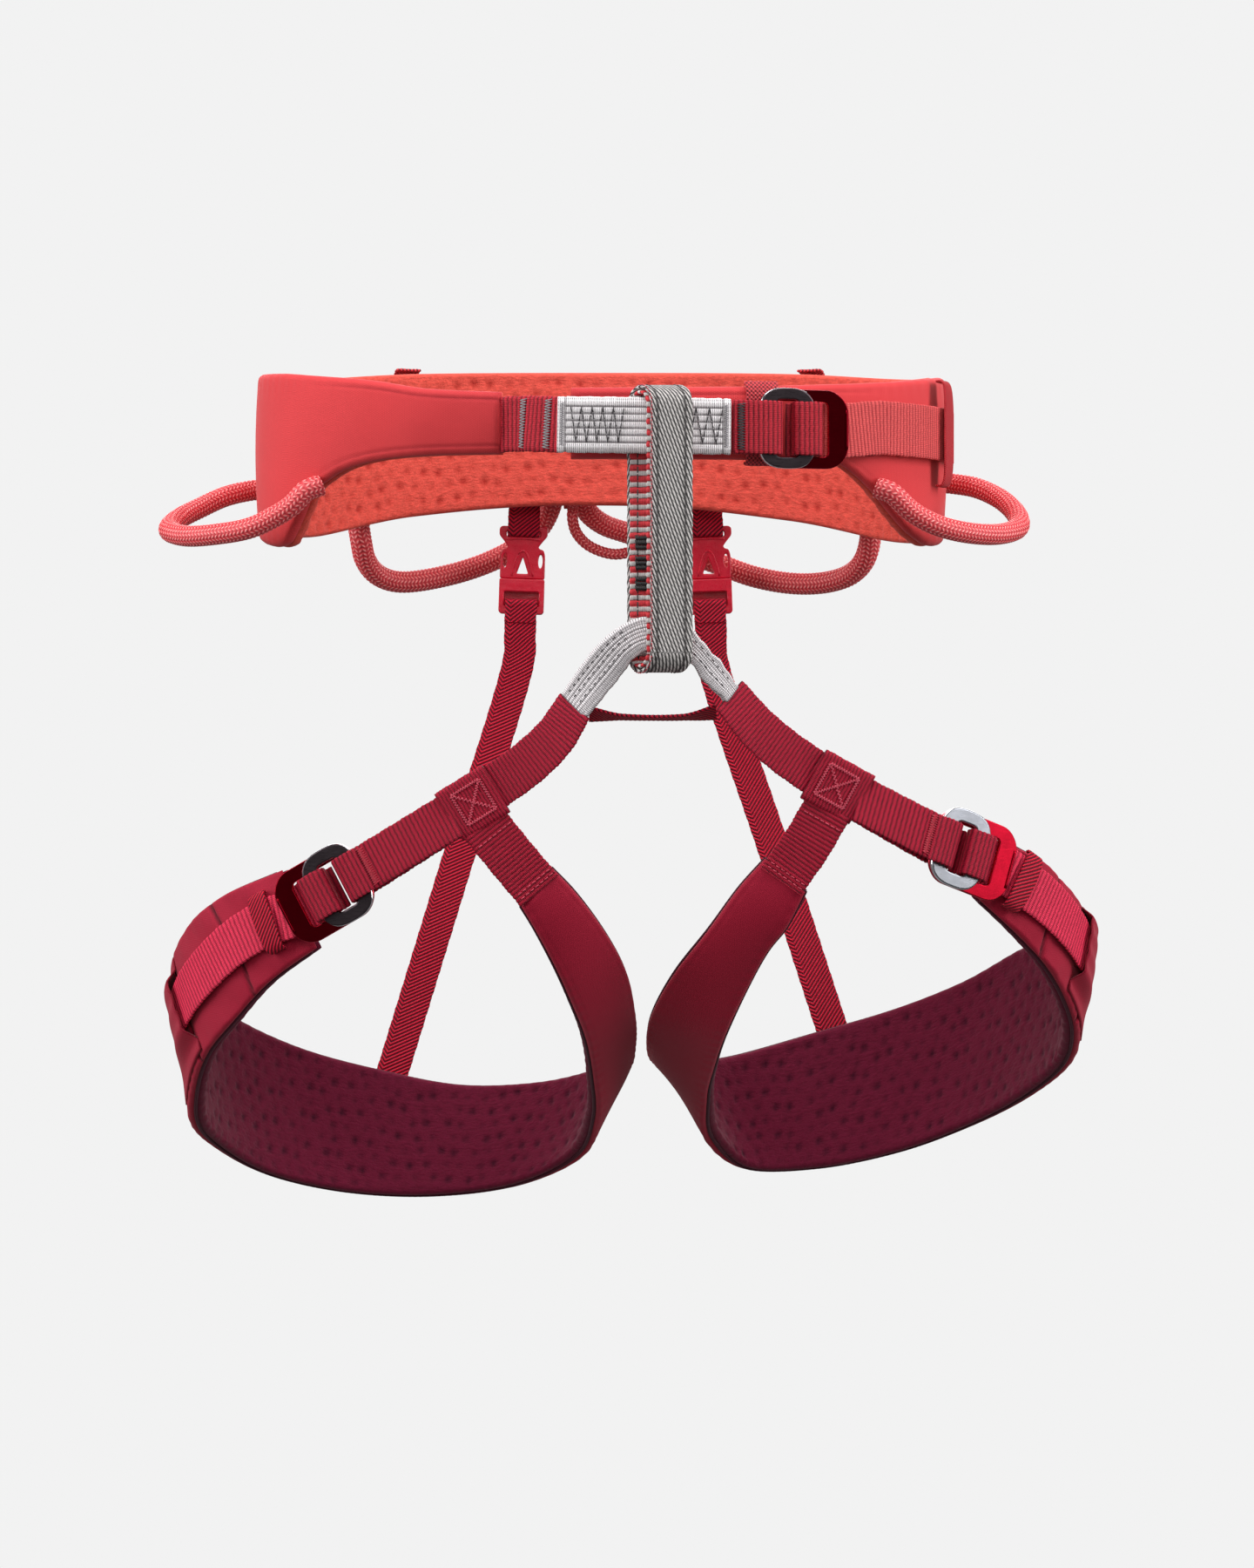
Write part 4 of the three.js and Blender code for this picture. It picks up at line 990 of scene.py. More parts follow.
def belay_loop():
    width = BELAY["width"]
    lay = FlatTurn(belay_route(0, BELAY_COVER), (1, 0, 0))

    def relief(distance, aside, side):
        to_edge = width / 2 - np.abs(aside)
        groove = bell(to_edge - BELAY_SEAM_INSET, 0.42)
        beads = 0.14 * np.abs(np.sin(distance * math.pi / 1.5)) * fade(-to_edge, -3, -1)
        edge = bell(to_edge - 1.5, 1.3)
        return np.clip(0.72 + 0.22 * edge - 0.6 * groove - beads, 0, 1)

    relief.depth = 0.5
    look = LOOK["gray_webbing"]
    piece = strap("belay_loop_webbing", lay, width, BELAY_COVER, look, relief, 0.5, 48, closed=True)
    belongs(piece, "belay_loop", "tie_in_webbing", "belay_loop_cover")
    place = surface_of(lay, BELAY_COVER)
    tracer = dashes(place, (1, -width / 2 + 0.75), (lay.length - 1, -width / 2 + 0.75), 1.5, 0.62, 0.12)
    stitched("belay_loop_tracer", tracer, 0.2, LOOK["red_thread"], "belay_loop")
    seams = []
    for aside in (-width / 2 + BELAY_SEAM_INSET, width / 2 - BELAY_SEAM_INSET):
        seams += dashes(place, (1, aside), (lay.length - 1, aside), 2.4, 0.6, 0.0)
    stitched("belay_loop_seams", seams, 0.17, LOOK["dark_thread"], "belay_loop")

    thickness = BELAY_LINER["thickness"]
    lay = FlatTurn(belay_route(BELAY_LINER["inset"], thickness), (1, 0, 0))
    relief = cross_ribs(BELAY_LINER["stripe"], 0.42)
    look = LOOK["striped"]
    piece = strap("belay_loop_inner_ply", lay, width + 0.3, thickness, look, relief, 0.36, 30, closed=True)
    belongs(piece, "belay_loop", "striped_webbing", "belay_loop_liner")

    place = surface_of(lay, thickness, -1)
    straight = BELAY["height"] - BELAY["depth"]
    back_top = lay.length / 2
    runs = []
    for down in (55.5, 63.8, 72.2):
        at = back_top + down
        runs += [zigzag(place, (at + row, -6.4), (at + row, 7.6), 1.1, 36, 0.35) for row in (-1.9, 0.0, 1.9)]
    aside = -width / 2 + 3.2
    seam = dashes(place, (back_top - 6, aside), (back_top + straight + 4, aside), 3.0, 0.75, 0.1)
    stitched("belay_loop_bar_tacks", runs + seam, 0.32, LOOK["black_thread"], "belay_loop")

# ---------------------------------------------------------------- metal and plastic plates


def rounded(points, radius, steps=5):
    """A closed outline with its corners rounded off."""
    points = [vec(*p) for p in points]
    out = []
    for before, here, after in zip(points[-1:] + points[:-1], points, points[1:] + points[:1]):
        a, b = before - here, after - here
        reach = min(radius, np.linalg.norm(a) * 0.48, np.linalg.norm(b) * 0.48)
        start, end = here + unit(a) * reach, here + unit(b) * reach
        for t in np.linspace(0, 1, steps):
            out.append((1 - t) ** 2 * start + 2 * t * (1 - t) * here + t * t * end)
    return out


def rectangle(x0, y0, x1, y1):
    return [(x0, y0), (x1, y0), (x1, y1), (x0, y1)]


def plate(name, outline, holes, thickness, bevel, looks, matrix, level=0.0):
    """A flat piece with holes and round rims, in a matrix's xy plane. looks are its faces' and its rims'; a
    rims' look is a painted highlight.
    """
    curve = bpy.data.curves.new(name, "CURVE")
    curve.dimensions = "2D"
    curve.fill_mode = "BOTH"
    curve.extrude = (thickness / 2 - bevel) * MM
    curve.bevel_depth = bevel * MM
    curve.bevel_resolution = 3
    curve.offset = -bevel * MM
    for ring in [outline, *holes]:
        spline = curve.splines.new("POLY")
        spline.points.add(len(ring) - 1)
        for point, place in zip(spline.points, ring):
            point.co = (place[0] * MM, place[1] * MM, 0, 1)
        spline.use_cyclic_u = True
    shape = bpy.data.objects.new(name + "_outline", curve)
    bpy.context.scene.collection.objects.link(shape)
    mesh = bpy.data.meshes.new_from_object(shape.evaluated_get(bpy.context.evaluated_depsgraph_get()))
    bpy.data.objects.remove(shape)
    work = bmesh.new()
    work.from_mesh(mesh)
    bmesh.ops.remove_doubles(work, verts=work.verts, dist=1e-6)
    work.to_mesh(mesh)
    work.free()
    mesh.materials.clear()
    for look in looks:
        mesh.materials.append(look)
    for face in mesh.polygons:
        face.use_smooth = abs(face.normal.z) < 0.99
        # Faces that slant away from the flat get the second look, the painted highlight on the rims.
        face.material_index = 0 if abs(face.normal.z) > 0.8 or len(looks) == 1 else 1
    mesh.transform(Matrix.Translation((0, 0, level * MM)))
    mesh.transform(matrix)
    piece = bpy.data.objects.new(name, mesh)
    bpy.context.scene.collection.objects.link(piece)
    return piece


class BuckleFrame:
    """A buckle's directions: s along the strap from the wearer's middle, n out from the body, w across."""

    def __init__(self, centre, along, outwards):
        self.centre = vec(*centre)
        self.s = unit(vec(*along))
        self.w = unit(np.cross(vec(*outwards), self.s))
        self.n = unit(np.cross(self.s, self.w))
        rotation = np.stack([self.s, self.w, self.n], 1)
        self.matrix = Matrix.Translation(Vector(self.centre * MM)) @ Matrix(rotation.tolist()).to_4x4()

    def at(self, along, out, across=0.0):
        return self.centre + self.s * along + self.n * out + self.w * across


def bar_anchor(seat, start, width, name, look, body, slot, node, tack, tack_at):
    """Webbing to the buckle, round its near bars and back under itself, with its bar tack."""
    bar = -BUCKLE["ring_length"] / 2 + BUCKLE["ring_bar"] / 2
    reach = BUCKLE["ring_bar"] / 2 + 2.4
    top = BUCKLE["ring_thickness"] / 2 + 2.1
    low = BUCKLE["plate_level"] - BUCKLE["plate_thickness"] / 2 - 2.2
    half, middle = (top - low) / 2, (top + low) / 2
    route = [start + seat.n * 0.9, seat.at(bar - 5, top - 0.6)]
    for turn in np.linspace(0, math.pi, 9):
        sin, cos = math.sin(turn), math.cos(turn)
        route.append(seat.at(bar + reach * sin**0.75, middle + half * math.copysign(abs(cos) ** 0.75, cos)))
    route += [seat.at(bar - 5, low + 0.6), start - seat.n * 0.9]
    lay = FlatTurn(route, seat.w * -1)
    piece = strap(name, lay, width, WEBBING_THICKNESS, look, cross_ribs())
    belongs(piece, body, slot, node)
    place = surface_of(lay, WEBBING_THICKNESS)
    reach_in = width / 2 - 1.6
    runs = [zigzag(place, (tack_at, reach_in), (tack_at, -reach_in), 1.7, 34, 0.3)]
    stitched(name + "_bar_tack", runs, THREAD, tack, body)


def strap_over_bar(seat, width, name, look, body, slot, node):
    """The adjusting strap up through the window, over the ring's far bar and down again."""
    near = BUCKLE["ring_length"] / 2 - BUCKLE["ring_bar"] - 1.7
    far = BUCKLE["ring_length"] / 2 + 1.9
    low, high = -3.2, 2.3
    route = [
        (near, low), (near, high - 1.4), (near + 1.4, high), (far - 1.4, high), (far, high - 1.4), (far, low),
    ]
    lay = FlatTurn([seat.at(*p) for p in route], seat.w * -1)
    piece = strap(name, lay, width, WEBBING_THICKNESS, look, cross_ribs(depth=0.3))
    belongs(piece, body, slot, node)


def buckle(prefix, seat, body, looks, rail):
    """The ring and the plate of a double-back buckle. rail is how wide its sides are, beside the strap."""
    # Painted reflection: the faces' looks are copies painted dark or lighter, and rim and lip_look are
    # painted highlights on the rims.
    steel, rim, anodized, lip_look = looks
    half_long, half_high = BUCKLE["ring_length"] / 2, BUCKLE["height"] / 2
    bar = BUCKLE["ring_bar"]
    outline = rounded(rectangle(-half_long, -half_high, half_long, half_high), 11, 9)
    window = rounded(rectangle(-half_long + bar, -half_high + rail, half_long - bar, half_high - rail), 2.4)
    ring = plate(
        f"{prefix}_ring", outline, [window], BUCKLE["ring_thickness"], 0.8, (steel, rim), seat.matrix,
    )
    belongs(ring, body, "steel", f"{prefix}_buckle_ring")
    start, end = -half_long, -half_long + BUCKLE["plate_length"]
    high, chamfer = half_high - 0.4, 6
    corners = [
        (start + chamfer, -high), (end - chamfer, -high), (end, -high + chamfer), (end, high - chamfer),
        (end - chamfer, high), (start + chamfer, high), (start, high - chamfer), (start, -high + chamfer),
    ]
    window = rounded(rectangle(start + bar, -high + rail, end - BUCKLE["plate_bar"], high - rail), 2.4)
    back = plate(
        f"{prefix}_plate", rounded(corners, 5.5, 7), [window], BUCKLE["plate_thickness"], 0.45,
        (anodized, lip_look), seat.matrix, BUCKLE["plate_level"],
    )
    belongs(back, body, "anodized_aluminium", f"{prefix}_buckle_plate")
    level = BUCKLE["plate_level"] + 1.0
    bead = [seat.at(end - 1.0, level, aside) for aside in np.linspace(-high + 8, high - 8, 12)]
    lip = thread(f"{prefix}_plate_lip", [bead], 0.6, anodized, 10)
    belongs(lip, body, "anodized_aluminium")


def keeper_band(name, centre, along, outward, across, lift, length, look, body, slot, node):
    """An elastic band over the tail, with both ends turned in to the padding."""
    reach = across / 2 + 1.4
    side = unit(np.cross(along, outward))
    half = [(reach - 1.6, lift - 0.3), (reach, lift - 1.6), (reach, lift - 4)]
    route = [(-aside, level) for aside, level in half[::-1]] + [(0, lift + 0.6)] + half
    lay = FlatTurn([centre + side * a + outward * n for a, n in route], -np.array(along))

    def swell(distance):
        return -0.3 * np.abs(2 * distance / lay.length - 1) ** 2

    piece = strap(name, lay, length, 1.0, look, twill(0.1, 0.9), swell=swell)
    belongs(piece, body, slot, node)


WAIST_BUCKLE = BuckleFrame((65.3, -105.4, -1), (0.951, 0.309, 0), (0.309, -0.951, 0))


def tongue_band():
    """The woven band that holds the tongue behind the buckle."""
    degrees, lift = -68.4, 1.0
    along = belt_along(degrees)
    profile = [
        (-14.4, -2.6), (-15.2, -0.6), (-13.4, lift), (0, lift), (15.6, lift), (18.6, -0.6), (17.8, -2.6),
    ]
    lay = FlatTurn([belt_point(degrees, out, z) for z, out in profile], along * -1)
    band = strap("tongue_band", lay, 14, 1.2, LOOK["belt_braid"], cross_ribs(1.7, 0.2))
    belongs(band, "waist", "coral_webbing")


def waist_buckle():
    width = WAIST_WEBBING - 1
    # Painted reflection: dark painted faces, with painted highlights on the rims.
    looks = (LOOK["steel_painted_dark"], LOOK["steel_painted_highlight"], LOOK["anodized_painted_dark"], LOOK["anodized_rim_painted_highlight"])
    buckle("waist", WAIST_BUCKLE, "waist_buckle", looks, 4.8)
    bar_anchor(
        WAIST_BUCKLE, vec(43.1, -111.6, -0.8), width, "buckle_anchor", LOOK["front_webbing"], "waist",
        "red_webbing", "buckle_anchor_webbing", LOOK["dark_thread"], 3.0,
    )
    strap_over_bar(
        WAIST_BUCKLE, width, "waist_strap_over_bar", LOOK["front_webbing"], "waist_buckle", "red_webbing",
        "waist_strap_fold",
    )
    tongue_band()
    turns = (-44, -37, -30, -23, -16, -10)
    route = [WAIST_BUCKLE.at(8, BUCKLE["tail_level"]), WAIST_BUCKLE.at(24.5, BUCKLE["tail_level"])]
    route += [belt_point(d, 4.4, 1.2) for d in turns]
    facings = [WAIST_BUCKLE.n, belt_outward(-44), belt_outward(-30), belt_outward(-10)]
    lay = Lay(route, facings)
    look = LOOK["coral_webbing"]
    tail = strap("waist_tail", lay, WAIST_WEBBING - 0.5, WEBBING_THICKNESS, look, cross_ribs(1.9))
    belongs(tail, None, "coral_webbing", "waist_strap_tail")
    cross_joint(tail, "waist_buckle", "waist", WAIST_BUCKLE.at(10, 0), WAIST_BUCKLE.at(34, 0))
    route = [
        WAIST_BUCKLE.at(2, BUCKLE["load_level"]), WAIST_BUCKLE.at(20, BUCKLE["load_level"] - 0.6),
        belt_point(-45, 2.2, 0.4),
    ]
    lay = Lay(route, [WAIST_BUCKLE.n])
    look = LOOK["front_webbing"]
    load = strap("waist_load_strap", lay, width, LOAD_STRAP_THICKNESS, look, cross_ribs(depth=0.25))
    belongs(load, None, "red_webbing", "waist_strap")
    cross_joint(load, "waist_buckle", "waist", WAIST_BUCKLE.at(8, 0), WAIST_BUCKLE.at(26, 0))
    at = -20
    keeper_band(
        "waist_keeper", belt_point(at, 0.0, 1.5), belt_along(at), belt_outward(at), WAIST_WEBBING + 18, 6.7,
        11, LOOK["belt_keeper"], "waist", "belt_keeper", "waist_strap_keeper",
    )


def cross_joint(piece, body_a, body_b, start, end):
    """Bakes the piece's placement into its mesh. body_a, body_b, start and end are not used."""
    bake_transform(piece)


def tool_tab(name, degrees, node):
    """A braided tab sewn over the belt's top edge."""
    top = float(column(BELT_EDGES, np.array([degrees]), 1)[0])
    height = top - 12
    profile = [(2.5, 0.0), (1.9, 11.2), (0.0, 13.6), (-3.0, 14.2)]
    route = [belt_point(degrees, out, height + up) for out, up in profile]
    outward = belt_outward(degrees)
    lay = Lay(route, [outward, outward + UP * 0.9, outward + UP * 3, UP])

    def basket(distance, aside, side):
        return 0.5 + 0.5 * np.sin(distance * 3.2 + 1.4 * np.abs(aside)) * np.cos(aside * 2.6)

    basket.depth = 0.3
    thickness = 1.3
    belongs(strap(name, lay, 12, thickness, LOOK["belt_braid"], basket), "waist", "coral_webbing", node)
    tacks = bar_tacks(surface_of(lay, thickness), [2.2], 4.6)
    stitched(name + "_bar_tack", tacks, THREAD, LOOK["crimson_thread"], "waist")


# ---------------------------------------------------------------- risers and their side-release buckles

RISER = {
    "right": {"top": (-47, 106, -15), "bottom": (-108.5, 92.4, -284), "lean": -0.035},
    "left": {"top": (36.5, 106, -15), "bottom": (95.5, 93.4, -265), "lean": 0.035},
}
LATCH_TOP = -28.6
RISER_LEVEL = 107.2


def latch_origin(side):
    """The middle of a latch's top edge."""
    return vec(RISER[side]["top"][0], RISER_LEVEL, LATCH_TOP)


def male_outline():
    """The latch half: its webbing bar, waist, two prongs and tongue."""
    half = [
        (9.8, 0), (11, -1.0), (11, -4.2), (8.6, -7.0), (7.0, -9.2), (7.6, -10.2), (9.4, -10.6), (10.2, -13),
        (10.2, -24.0),
    ]
    return rounded(half + [(-x, y) for x, y in half[::-1]], 1.1)


def male_holes():
    slot = rounded(rectangle(-7.6, -4.7, 7.6, -2.4), 0.6)
    window = rounded([(0, -14.0), (-2.6, -21.6), (2.6, -21.6)], 0.6)
    loops = [
        [(side * 8.1 + 0.95 * math.cos(t), -15.8 + 3.1 * math.sin(t)) for t in np.linspace(0, TAU, 24)[:-1]]
        for side in (-1, 1)
    ]
    return [slot, window, *loops]


def catch_outline(notched):
    """The catch half, with or without the notch that its latch's tongue slides in."""
    half = [(10.3, -24.1), (10.3, -39), (9.3, -40)]
    notch = [(-7.6, -24.1), (-7.6, -29.6), (7.6, -29.6), (7.6, -24.1)]
    return rounded(half + [(-x, y) for x, y in half[::-1]] + (notch if notched else []), 0.7)


def side_release(side):
    place = BuckleFrame(latch_origin(side), (1, 0, RISER[side]["lean"]), (0, -1, 0))
    looks = (LOOK["plastic"],)
    male = plate(f"latch_{side}", male_outline(), male_holes(), 4.6, 0.7, looks, place.matrix)
    belongs(male, "waist", "moulded_plastic", f"riser_buckle_male_{side}")
    tongue = plate(f"tongue_{side}", rectangle(-6.6, -29, 6.6, -22), [], 2.2, 0.4, looks, place.matrix)
    belongs(tongue, "waist", "moulded_plastic")
    slot = rounded(rectangle(-7.9, -36.6, 7.9, -29.8), 0.8)
    layers = (
        ("front", False, [slot], 1.7, 2.35), ("middle", True, [slot], 3.0, 0.0),
        ("back", False, [], 1.7, -2.35),
    )
    for layer, notched, holes, thickness, level in layers:
        name = f"catch_{layer}_{side}"
        part = plate(name, catch_outline(notched), holes, thickness, 0.5, looks, place.matrix, level)
        belongs(part, f"riser_lock_{side}", "moulded_plastic", f"riser_buckle_female_{side}")
    arch = [(-4.9, -22.8), (-3.2, -16.4), (-1.5, -12.2), (0, -11.2), (1.5, -12.2), (3.2, -16.4), (4.9, -22.8)]
    brow = [(-7.6, -6.2), (-4, -5.7), (0, -5.6), (4, -5.7), (7.6, -6.2)]
    lines = [Curve([place.at(x, 2.25, y) for x, y in row]).at(np.linspace(0, 1, 22)) for row in (arch, brow)]
    ribs = thread(f"latch_ribs_{side}", lines, 0.55, LOOK["plastic"], 8)
    belongs(ribs, "waist", "moulded_plastic")


def bar_tacks(place, distances, reach):
    """Dense zigzags across a strap."""
    return [zigzag(place, (at, reach), (at, -reach), 1.3, 30, 0.25) for at in distances]


def riser(side):
    side_release(side)
    top, bottom = vec(*RISER[side]["top"]), vec(*RISER[side]["bottom"])
    down = unit(vec(RISER[side]["lean"], 0, -1))

    def along(distance, y):
        point = latch_origin(side) + down * distance
        return vec(point[0], y, point[2])

    front = [(0, -1, 0)]
    width, thickness = ELASTIC["width"], ELASTIC["thickness"]
    route = [
        top, along(-6.5, RISER_LEVEL - 1.8), along(-1.5, RISER_LEVEL - 3.3), along(2.2, RISER_LEVEL - 3.5),
        along(3.8, RISER_LEVEL - 3.2), along(4.4, RISER_LEVEL - 2.0),
    ]
    stub = strap(f"riser_stub_elastic_{side}", Lay(route, front), width, thickness, LOOK["elastic"], twill())
    belongs(stub, "waist", "elastic", f"riser_stub_{side}")
    in_front = RISER_LEVEL - 4.7
    middle = (along(60, 0) + bottom) / 2
    route = [
        along(33.6, in_front + 2.2), along(34.6, in_front + 0.3), along(37.5, in_front), along(44, in_front),
    ]
    fold = strap(f"riser_fold_{side}", Lay(route, front), width, thickness, LOOK["elastic"], twill())
    belongs(fold, f"riser_lock_{side}", "elastic")
    route = [
        along(43, in_front + 0.35), along(50, in_front + 0.4), along(60, in_front + 0.6),
        vec(middle[0], RISER_LEVEL - 7, middle[2]), bottom,
    ]
    lay = Lay(route, front)
    long_strap = strap(f"riser_elastic_{side}", lay, width, thickness, LOOK["elastic"], twill())
    tacks = bar_tacks(surface_of(lay, thickness, -1), [lay.length - 3, lay.length - 8], width / 2 - 1.5)
    stitched(f"riser_bar_tacks_{side}", tacks, THREAD, LOOK["crimson_thread"], f"leg_{side}")
    belongs(long_strap, None, "elastic", f"riser_strap_{side}")
    cross_joint(long_strap, "waist", f"leg_{side}", along(45, in_front), bottom + vec(0, 0, 25))


# ---------------------------------------------------------------- gear loops and haul loop

GEAR_LOOPS = {
    "gear_loop_front_right": {"radius": 4.4, "route": [
        (-133, -74.6, -24.4), (-139, -74, -30.4), (-146, -72, -34.8), (-156.5, -68, -39.3),
        (-171.3, -58, -41.4), (-186, -44, -41.4), (-194.5, -30, -38.4), (-192.8, -12, -32.6),
        (-185, 0, -27.2), (-174.5, 9, -21.4), (-164.5, 16, -18.4),
    ]},
    "gear_loop_front_left": {"radius": 4.4, "route": [
        (109.4, -78.6, -25.6), (117.2, -76.6, -32.6), (126.3, -73, -37.6), (138.4, -65, -40.6),
        (155.5, -49, -41), (165.8, -33, -37.4), (166.6, -14, -30), (160.5, 0, -22.6), (151.6, 9, -17.6),
        (142.4, 16, -15.4),
    ]},
    "gear_loop_rear_right": {"radius": 4.9, "route": [
        (-121, 86.4, -26), (-120.2, 89, -36), (-118.4, 94, -44.6), (-113.6, 100, -50.8), (-104, 107, -53.8),
        (-81, 118, -50), (-60, 123.4, -42.4), (-46, 122.4, -34), (-38.6, 118.4, -26.4), (-34, 113, -15.6),
        (-33, 110.6, -4),
    ]},
    "gear_loop_rear_left": {"radius": 4.9, "route": [
        (109.4, 80, -24), (109.8, 83, -34), (107.6, 88, -44), (102, 95, -50.6), (92, 103, -54),
        (77, 112, -54.4), (59, 120, -51), (41, 125, -44.4), (21, 127.6, -37), (0, 126.6, -30.4),
        (-11, 123.6, -26.6), (-18.6, 118.4, -20.4), (-21.4, 113, -12), (-21.6, 110.6, -4),
    ]},
    "haul_loop": {"radius": 2.5, "route": [
        (-24.6, 107.6, -19.4), (-24.8, 108.4, -25.4), (-23, 109.6, -31.4), (-17, 111, -37.4),
        (-5, 111.8, -41), (7, 111, -37.4), (13, 109.6, -31.4), (14.8, 108.4, -25.4), (14.6, 107.6, -19.4),
    ]},
}
TUCK = 4.0  # how far a loop's ends go into the belt's padding


def braid(rows, pitch=1.9):
    """Yarns in rows along the tube, slanted in turn one way and the other, as a braid shows them."""

    def relief(distance, turn):
        row = turn / TAU * rows
        inside = np.mod(row, 1.0) - 0.5
        slant = np.where(np.mod(np.floor(row), 2) < 0.5, 1.0, -1.0)
        yarn = 0.5 + 0.5 * np.cos((distance / pitch + slant * inside * 0.75) * TAU)
        return (0.25 + 0.75 * yarn) * np.sqrt(np.clip(1 - (1.75 * inside) ** 2, 0, 1))

    return relief


def belt_angle(point):
    """The angle around the belt that is nearest to a point."""
    apart = np.linalg.norm(belt_point(BELT_ALONG, 0.0, 0.0)[:, :2] - vec(*point)[:2], axis=1)
    return float(BELT_ALONG[apart.argmin()])


def loop_anchor(name, end, radius, loop):
    """A sewn tab on the back of the belt, with a loop's end coming out from under it."""
    degrees, low = belt_angle(end), end[2]
    over, thickness = 2 * radius + 1.6, 1.2
    profile = [(-1.0, over), (4.0, over - 0.6), (8.0, over * 0.5), (11.0, 1.9), (20.0, 1.9)]
    route = [belt_point(degrees, out, low + up) for up, out in profile]
    lay = FlatTurn(route, belt_along(degrees))
    tab = strap(name, lay, over, thickness, LOOK["coral_webbing"], cross_ribs(1.9, 0.25))
    belongs(tab, None, "coral_webbing")
    sewn, free = belt_point(degrees, 2.0, low + 12.0), belt_point(degrees, over, low + 1.0)
    cross_joint(tab, "waist", loop, sewn, free)
    tacks = bar_tacks(surface_of(lay, thickness, -1), [lay.length - 2.4, lay.length - 7.6], radius)
    stitched(name + "_bar_tacks", tacks, THREAD, LOOK["red_thread"], "waist")


def gear_loop(name, radius, route):
    rows = 16 if radius > 3 else 10
    middle = vec(BELT["centre_x"], 0, 0)
    ends = []
    for end, after in ((route[0], route[1]), (route[-1], route[-2])):
        end, after = vec(*end), vec(*after)
        inward = unit((middle - end) * (1, 1, 0))
        ends.append(end - unit(after - end) * 3.5 + inward * TUCK)
    route = [ends[0], *route, ends[1]]
    piece = round_cord(name + "_sheath", route, radius, LOOK["sheath"], braid(rows), 0.42, 0.3, rows * 6)
    belongs(piece, name, "loop_sheath", name)
    if "front" not in name:
        loop_anchor(name + "_first_anchor", route[1], radius, name)
        loop_anchor(name + "_last_anchor", route[-2], radius, name)

# ---------------------------------------------------------------- leg loops

# Each row is a station along the padded band, from its tab at the front of the thigh, down the
# inside, across the back and up the outside to its buckle end: the upper edge, then the lower.
LEG_STATIONS = {
    "right": [
        [(-30.4, -92, -180.7), (-42.9, -93, -196.8)], [(-20.1, -88, -191.9), (-35.9, -88, -209.1)],
        [(-8.3, -74, -208.2), (-28.1, -78, -224.2)], [(0.3, -55, -225.2), (-21.8, -62, -239.5)],
        [(4, -30, -243), (-16.5, -42, -254.1)], [(4.6, 0, -258), (-13.1, -12, -273)],
        [(1.2, 35, -269.3), (-12.2, 22, -293.6)], [(-11.7, 66, -275.9), (-20.1, 54, -312.3)],
        [(-37.3, 84, -281.8), (-46.8, 72, -325.9)], [(-74.9, 92, -283.2), (-86.1, 78, -331.5)],
        [(-114.1, 88, -275.5), (-126.8, 72, -329)], [(-146.6, 76, -266), (-160.6, 56, -319.8)],
        [(-174.6, 52, -252.2), (-181.4, 30, -305.6)], [(-189.6, 24, -238.5), (-188.9, 5, -293)],
        [(-195.5, 0, -228.7), (-186.5, -18, -276)], [(-194, -18, -218.6), (-179.1, -38, -260)],
        [(-185.5, -36, -204.8), (-166.6, -54, -245.7)], [(-170.2, -52, -192.9), (-150.3, -66, -228.8)],
        [(-144.3, -68, -181.9), (-129.2, -76, -213.9)],
    ],
    "left": [
        [(56.5, -92, -176.8), (72.9, -93, -190.7)], [(45.9, -88, -189), (66, -88, -204.8)],
        [(33.2, -76, -207.4), (57.7, -78, -216.7)], [(20, -58, -225.5), (49.5, -62, -233.3)],
        [(10.6, -32, -243.2), (41.5, -42, -251.9)], [(7.8, 0, -256.9), (36.6, -14, -268.4)],
        [(10.6, 35, -267), (33.4, 18, -285)], [(23.3, 66, -271.6), (35.1, 50, -304.2)],
        [(45.1, 82, -269.5), (50.7, 72, -318.3)], [(85.5, 90, -259), (84.9, 78, -319)],
        [(121.8, 86, -248.2), (125, 74, -310.5)], [(154.1, 72, -235), (156.9, 58, -297.1)],
        [(180, 48, -219.2), (178.7, 34, -283)], [(194.6, 20, -212), (192.5, 6, -267)],
        [(198.6, -5, -207.6), (193.4, -18, -252.1)], [(194.8, -26, -198.8), (187.3, -37, -237.2)],
        [(185.4, -43, -187.9), (177, -54, -222.1)], [(174.7, -57, -178.4), (162.7, -66, -207.9)],
        [(162.6, -68, -172.3), (145.6, -76, -193)],
    ],
}

LEG_RIG = {
    "right": {
        "webbing": [
            (-22.6, -104.6, -116.2), (-29.5, -101.6, -126.8), (-41.5, -98.6, -138.2), (-53.4, -96.4, -146.6),
        ],
        "webbing_facings": [(-0.45, -0.85, 0.3), (-0.25, -1, 0.1), (0, -1, 0)],
        "patch": (-63.4, -95.8, -153.8),
        "patch_along": (-0.85, 0.06, -0.52),
        "tab": [(-56.6, -95.8, -164.8), (-47.6, -94.8, -176), (-39.4, -93.6, -185.8)],
        "ring": ((-119.2, -87.6, -187.6), (-0.84, 0.24, -0.485), (-0.28, -0.96, 0)),
        "tail_turns": (0.975, 0.94, 0.9, 0.86, 0.82),
        "tail_share": 0.5,
    },
    "left": {
        "webbing": [(43.4, -105.2, -111.6), (52.8, -101.8, -122.6), (64, -98.4, -132.4), (76, -96.6, -140.8)],
        "webbing_facings": [(0.5, -0.85, 0.25), (0.3, -1, 0.1), (0.1, -1, 0)],
        "patch": (86.4, -95.6, -147.2),
        "patch_along": (0.87, 0.12, -0.48),
        "tab": [(81, -95.6, -158.2), (73.6, -94.8, -171), (66.2, -93.6, -181.6)],
        "ring": ((137.2, -90.4, -172.6), (0.84, 0.43, -0.33), (0.45, -0.89, 0.05)),
        "tail_turns": (0.973, 0.945, 0.91, 0.87, 0.83),
        "tail_share": 0.55,
    },
}
PATCH = {"side": 23.0, "thickness": 3.4}
TAB_THICKNESS = 1.6


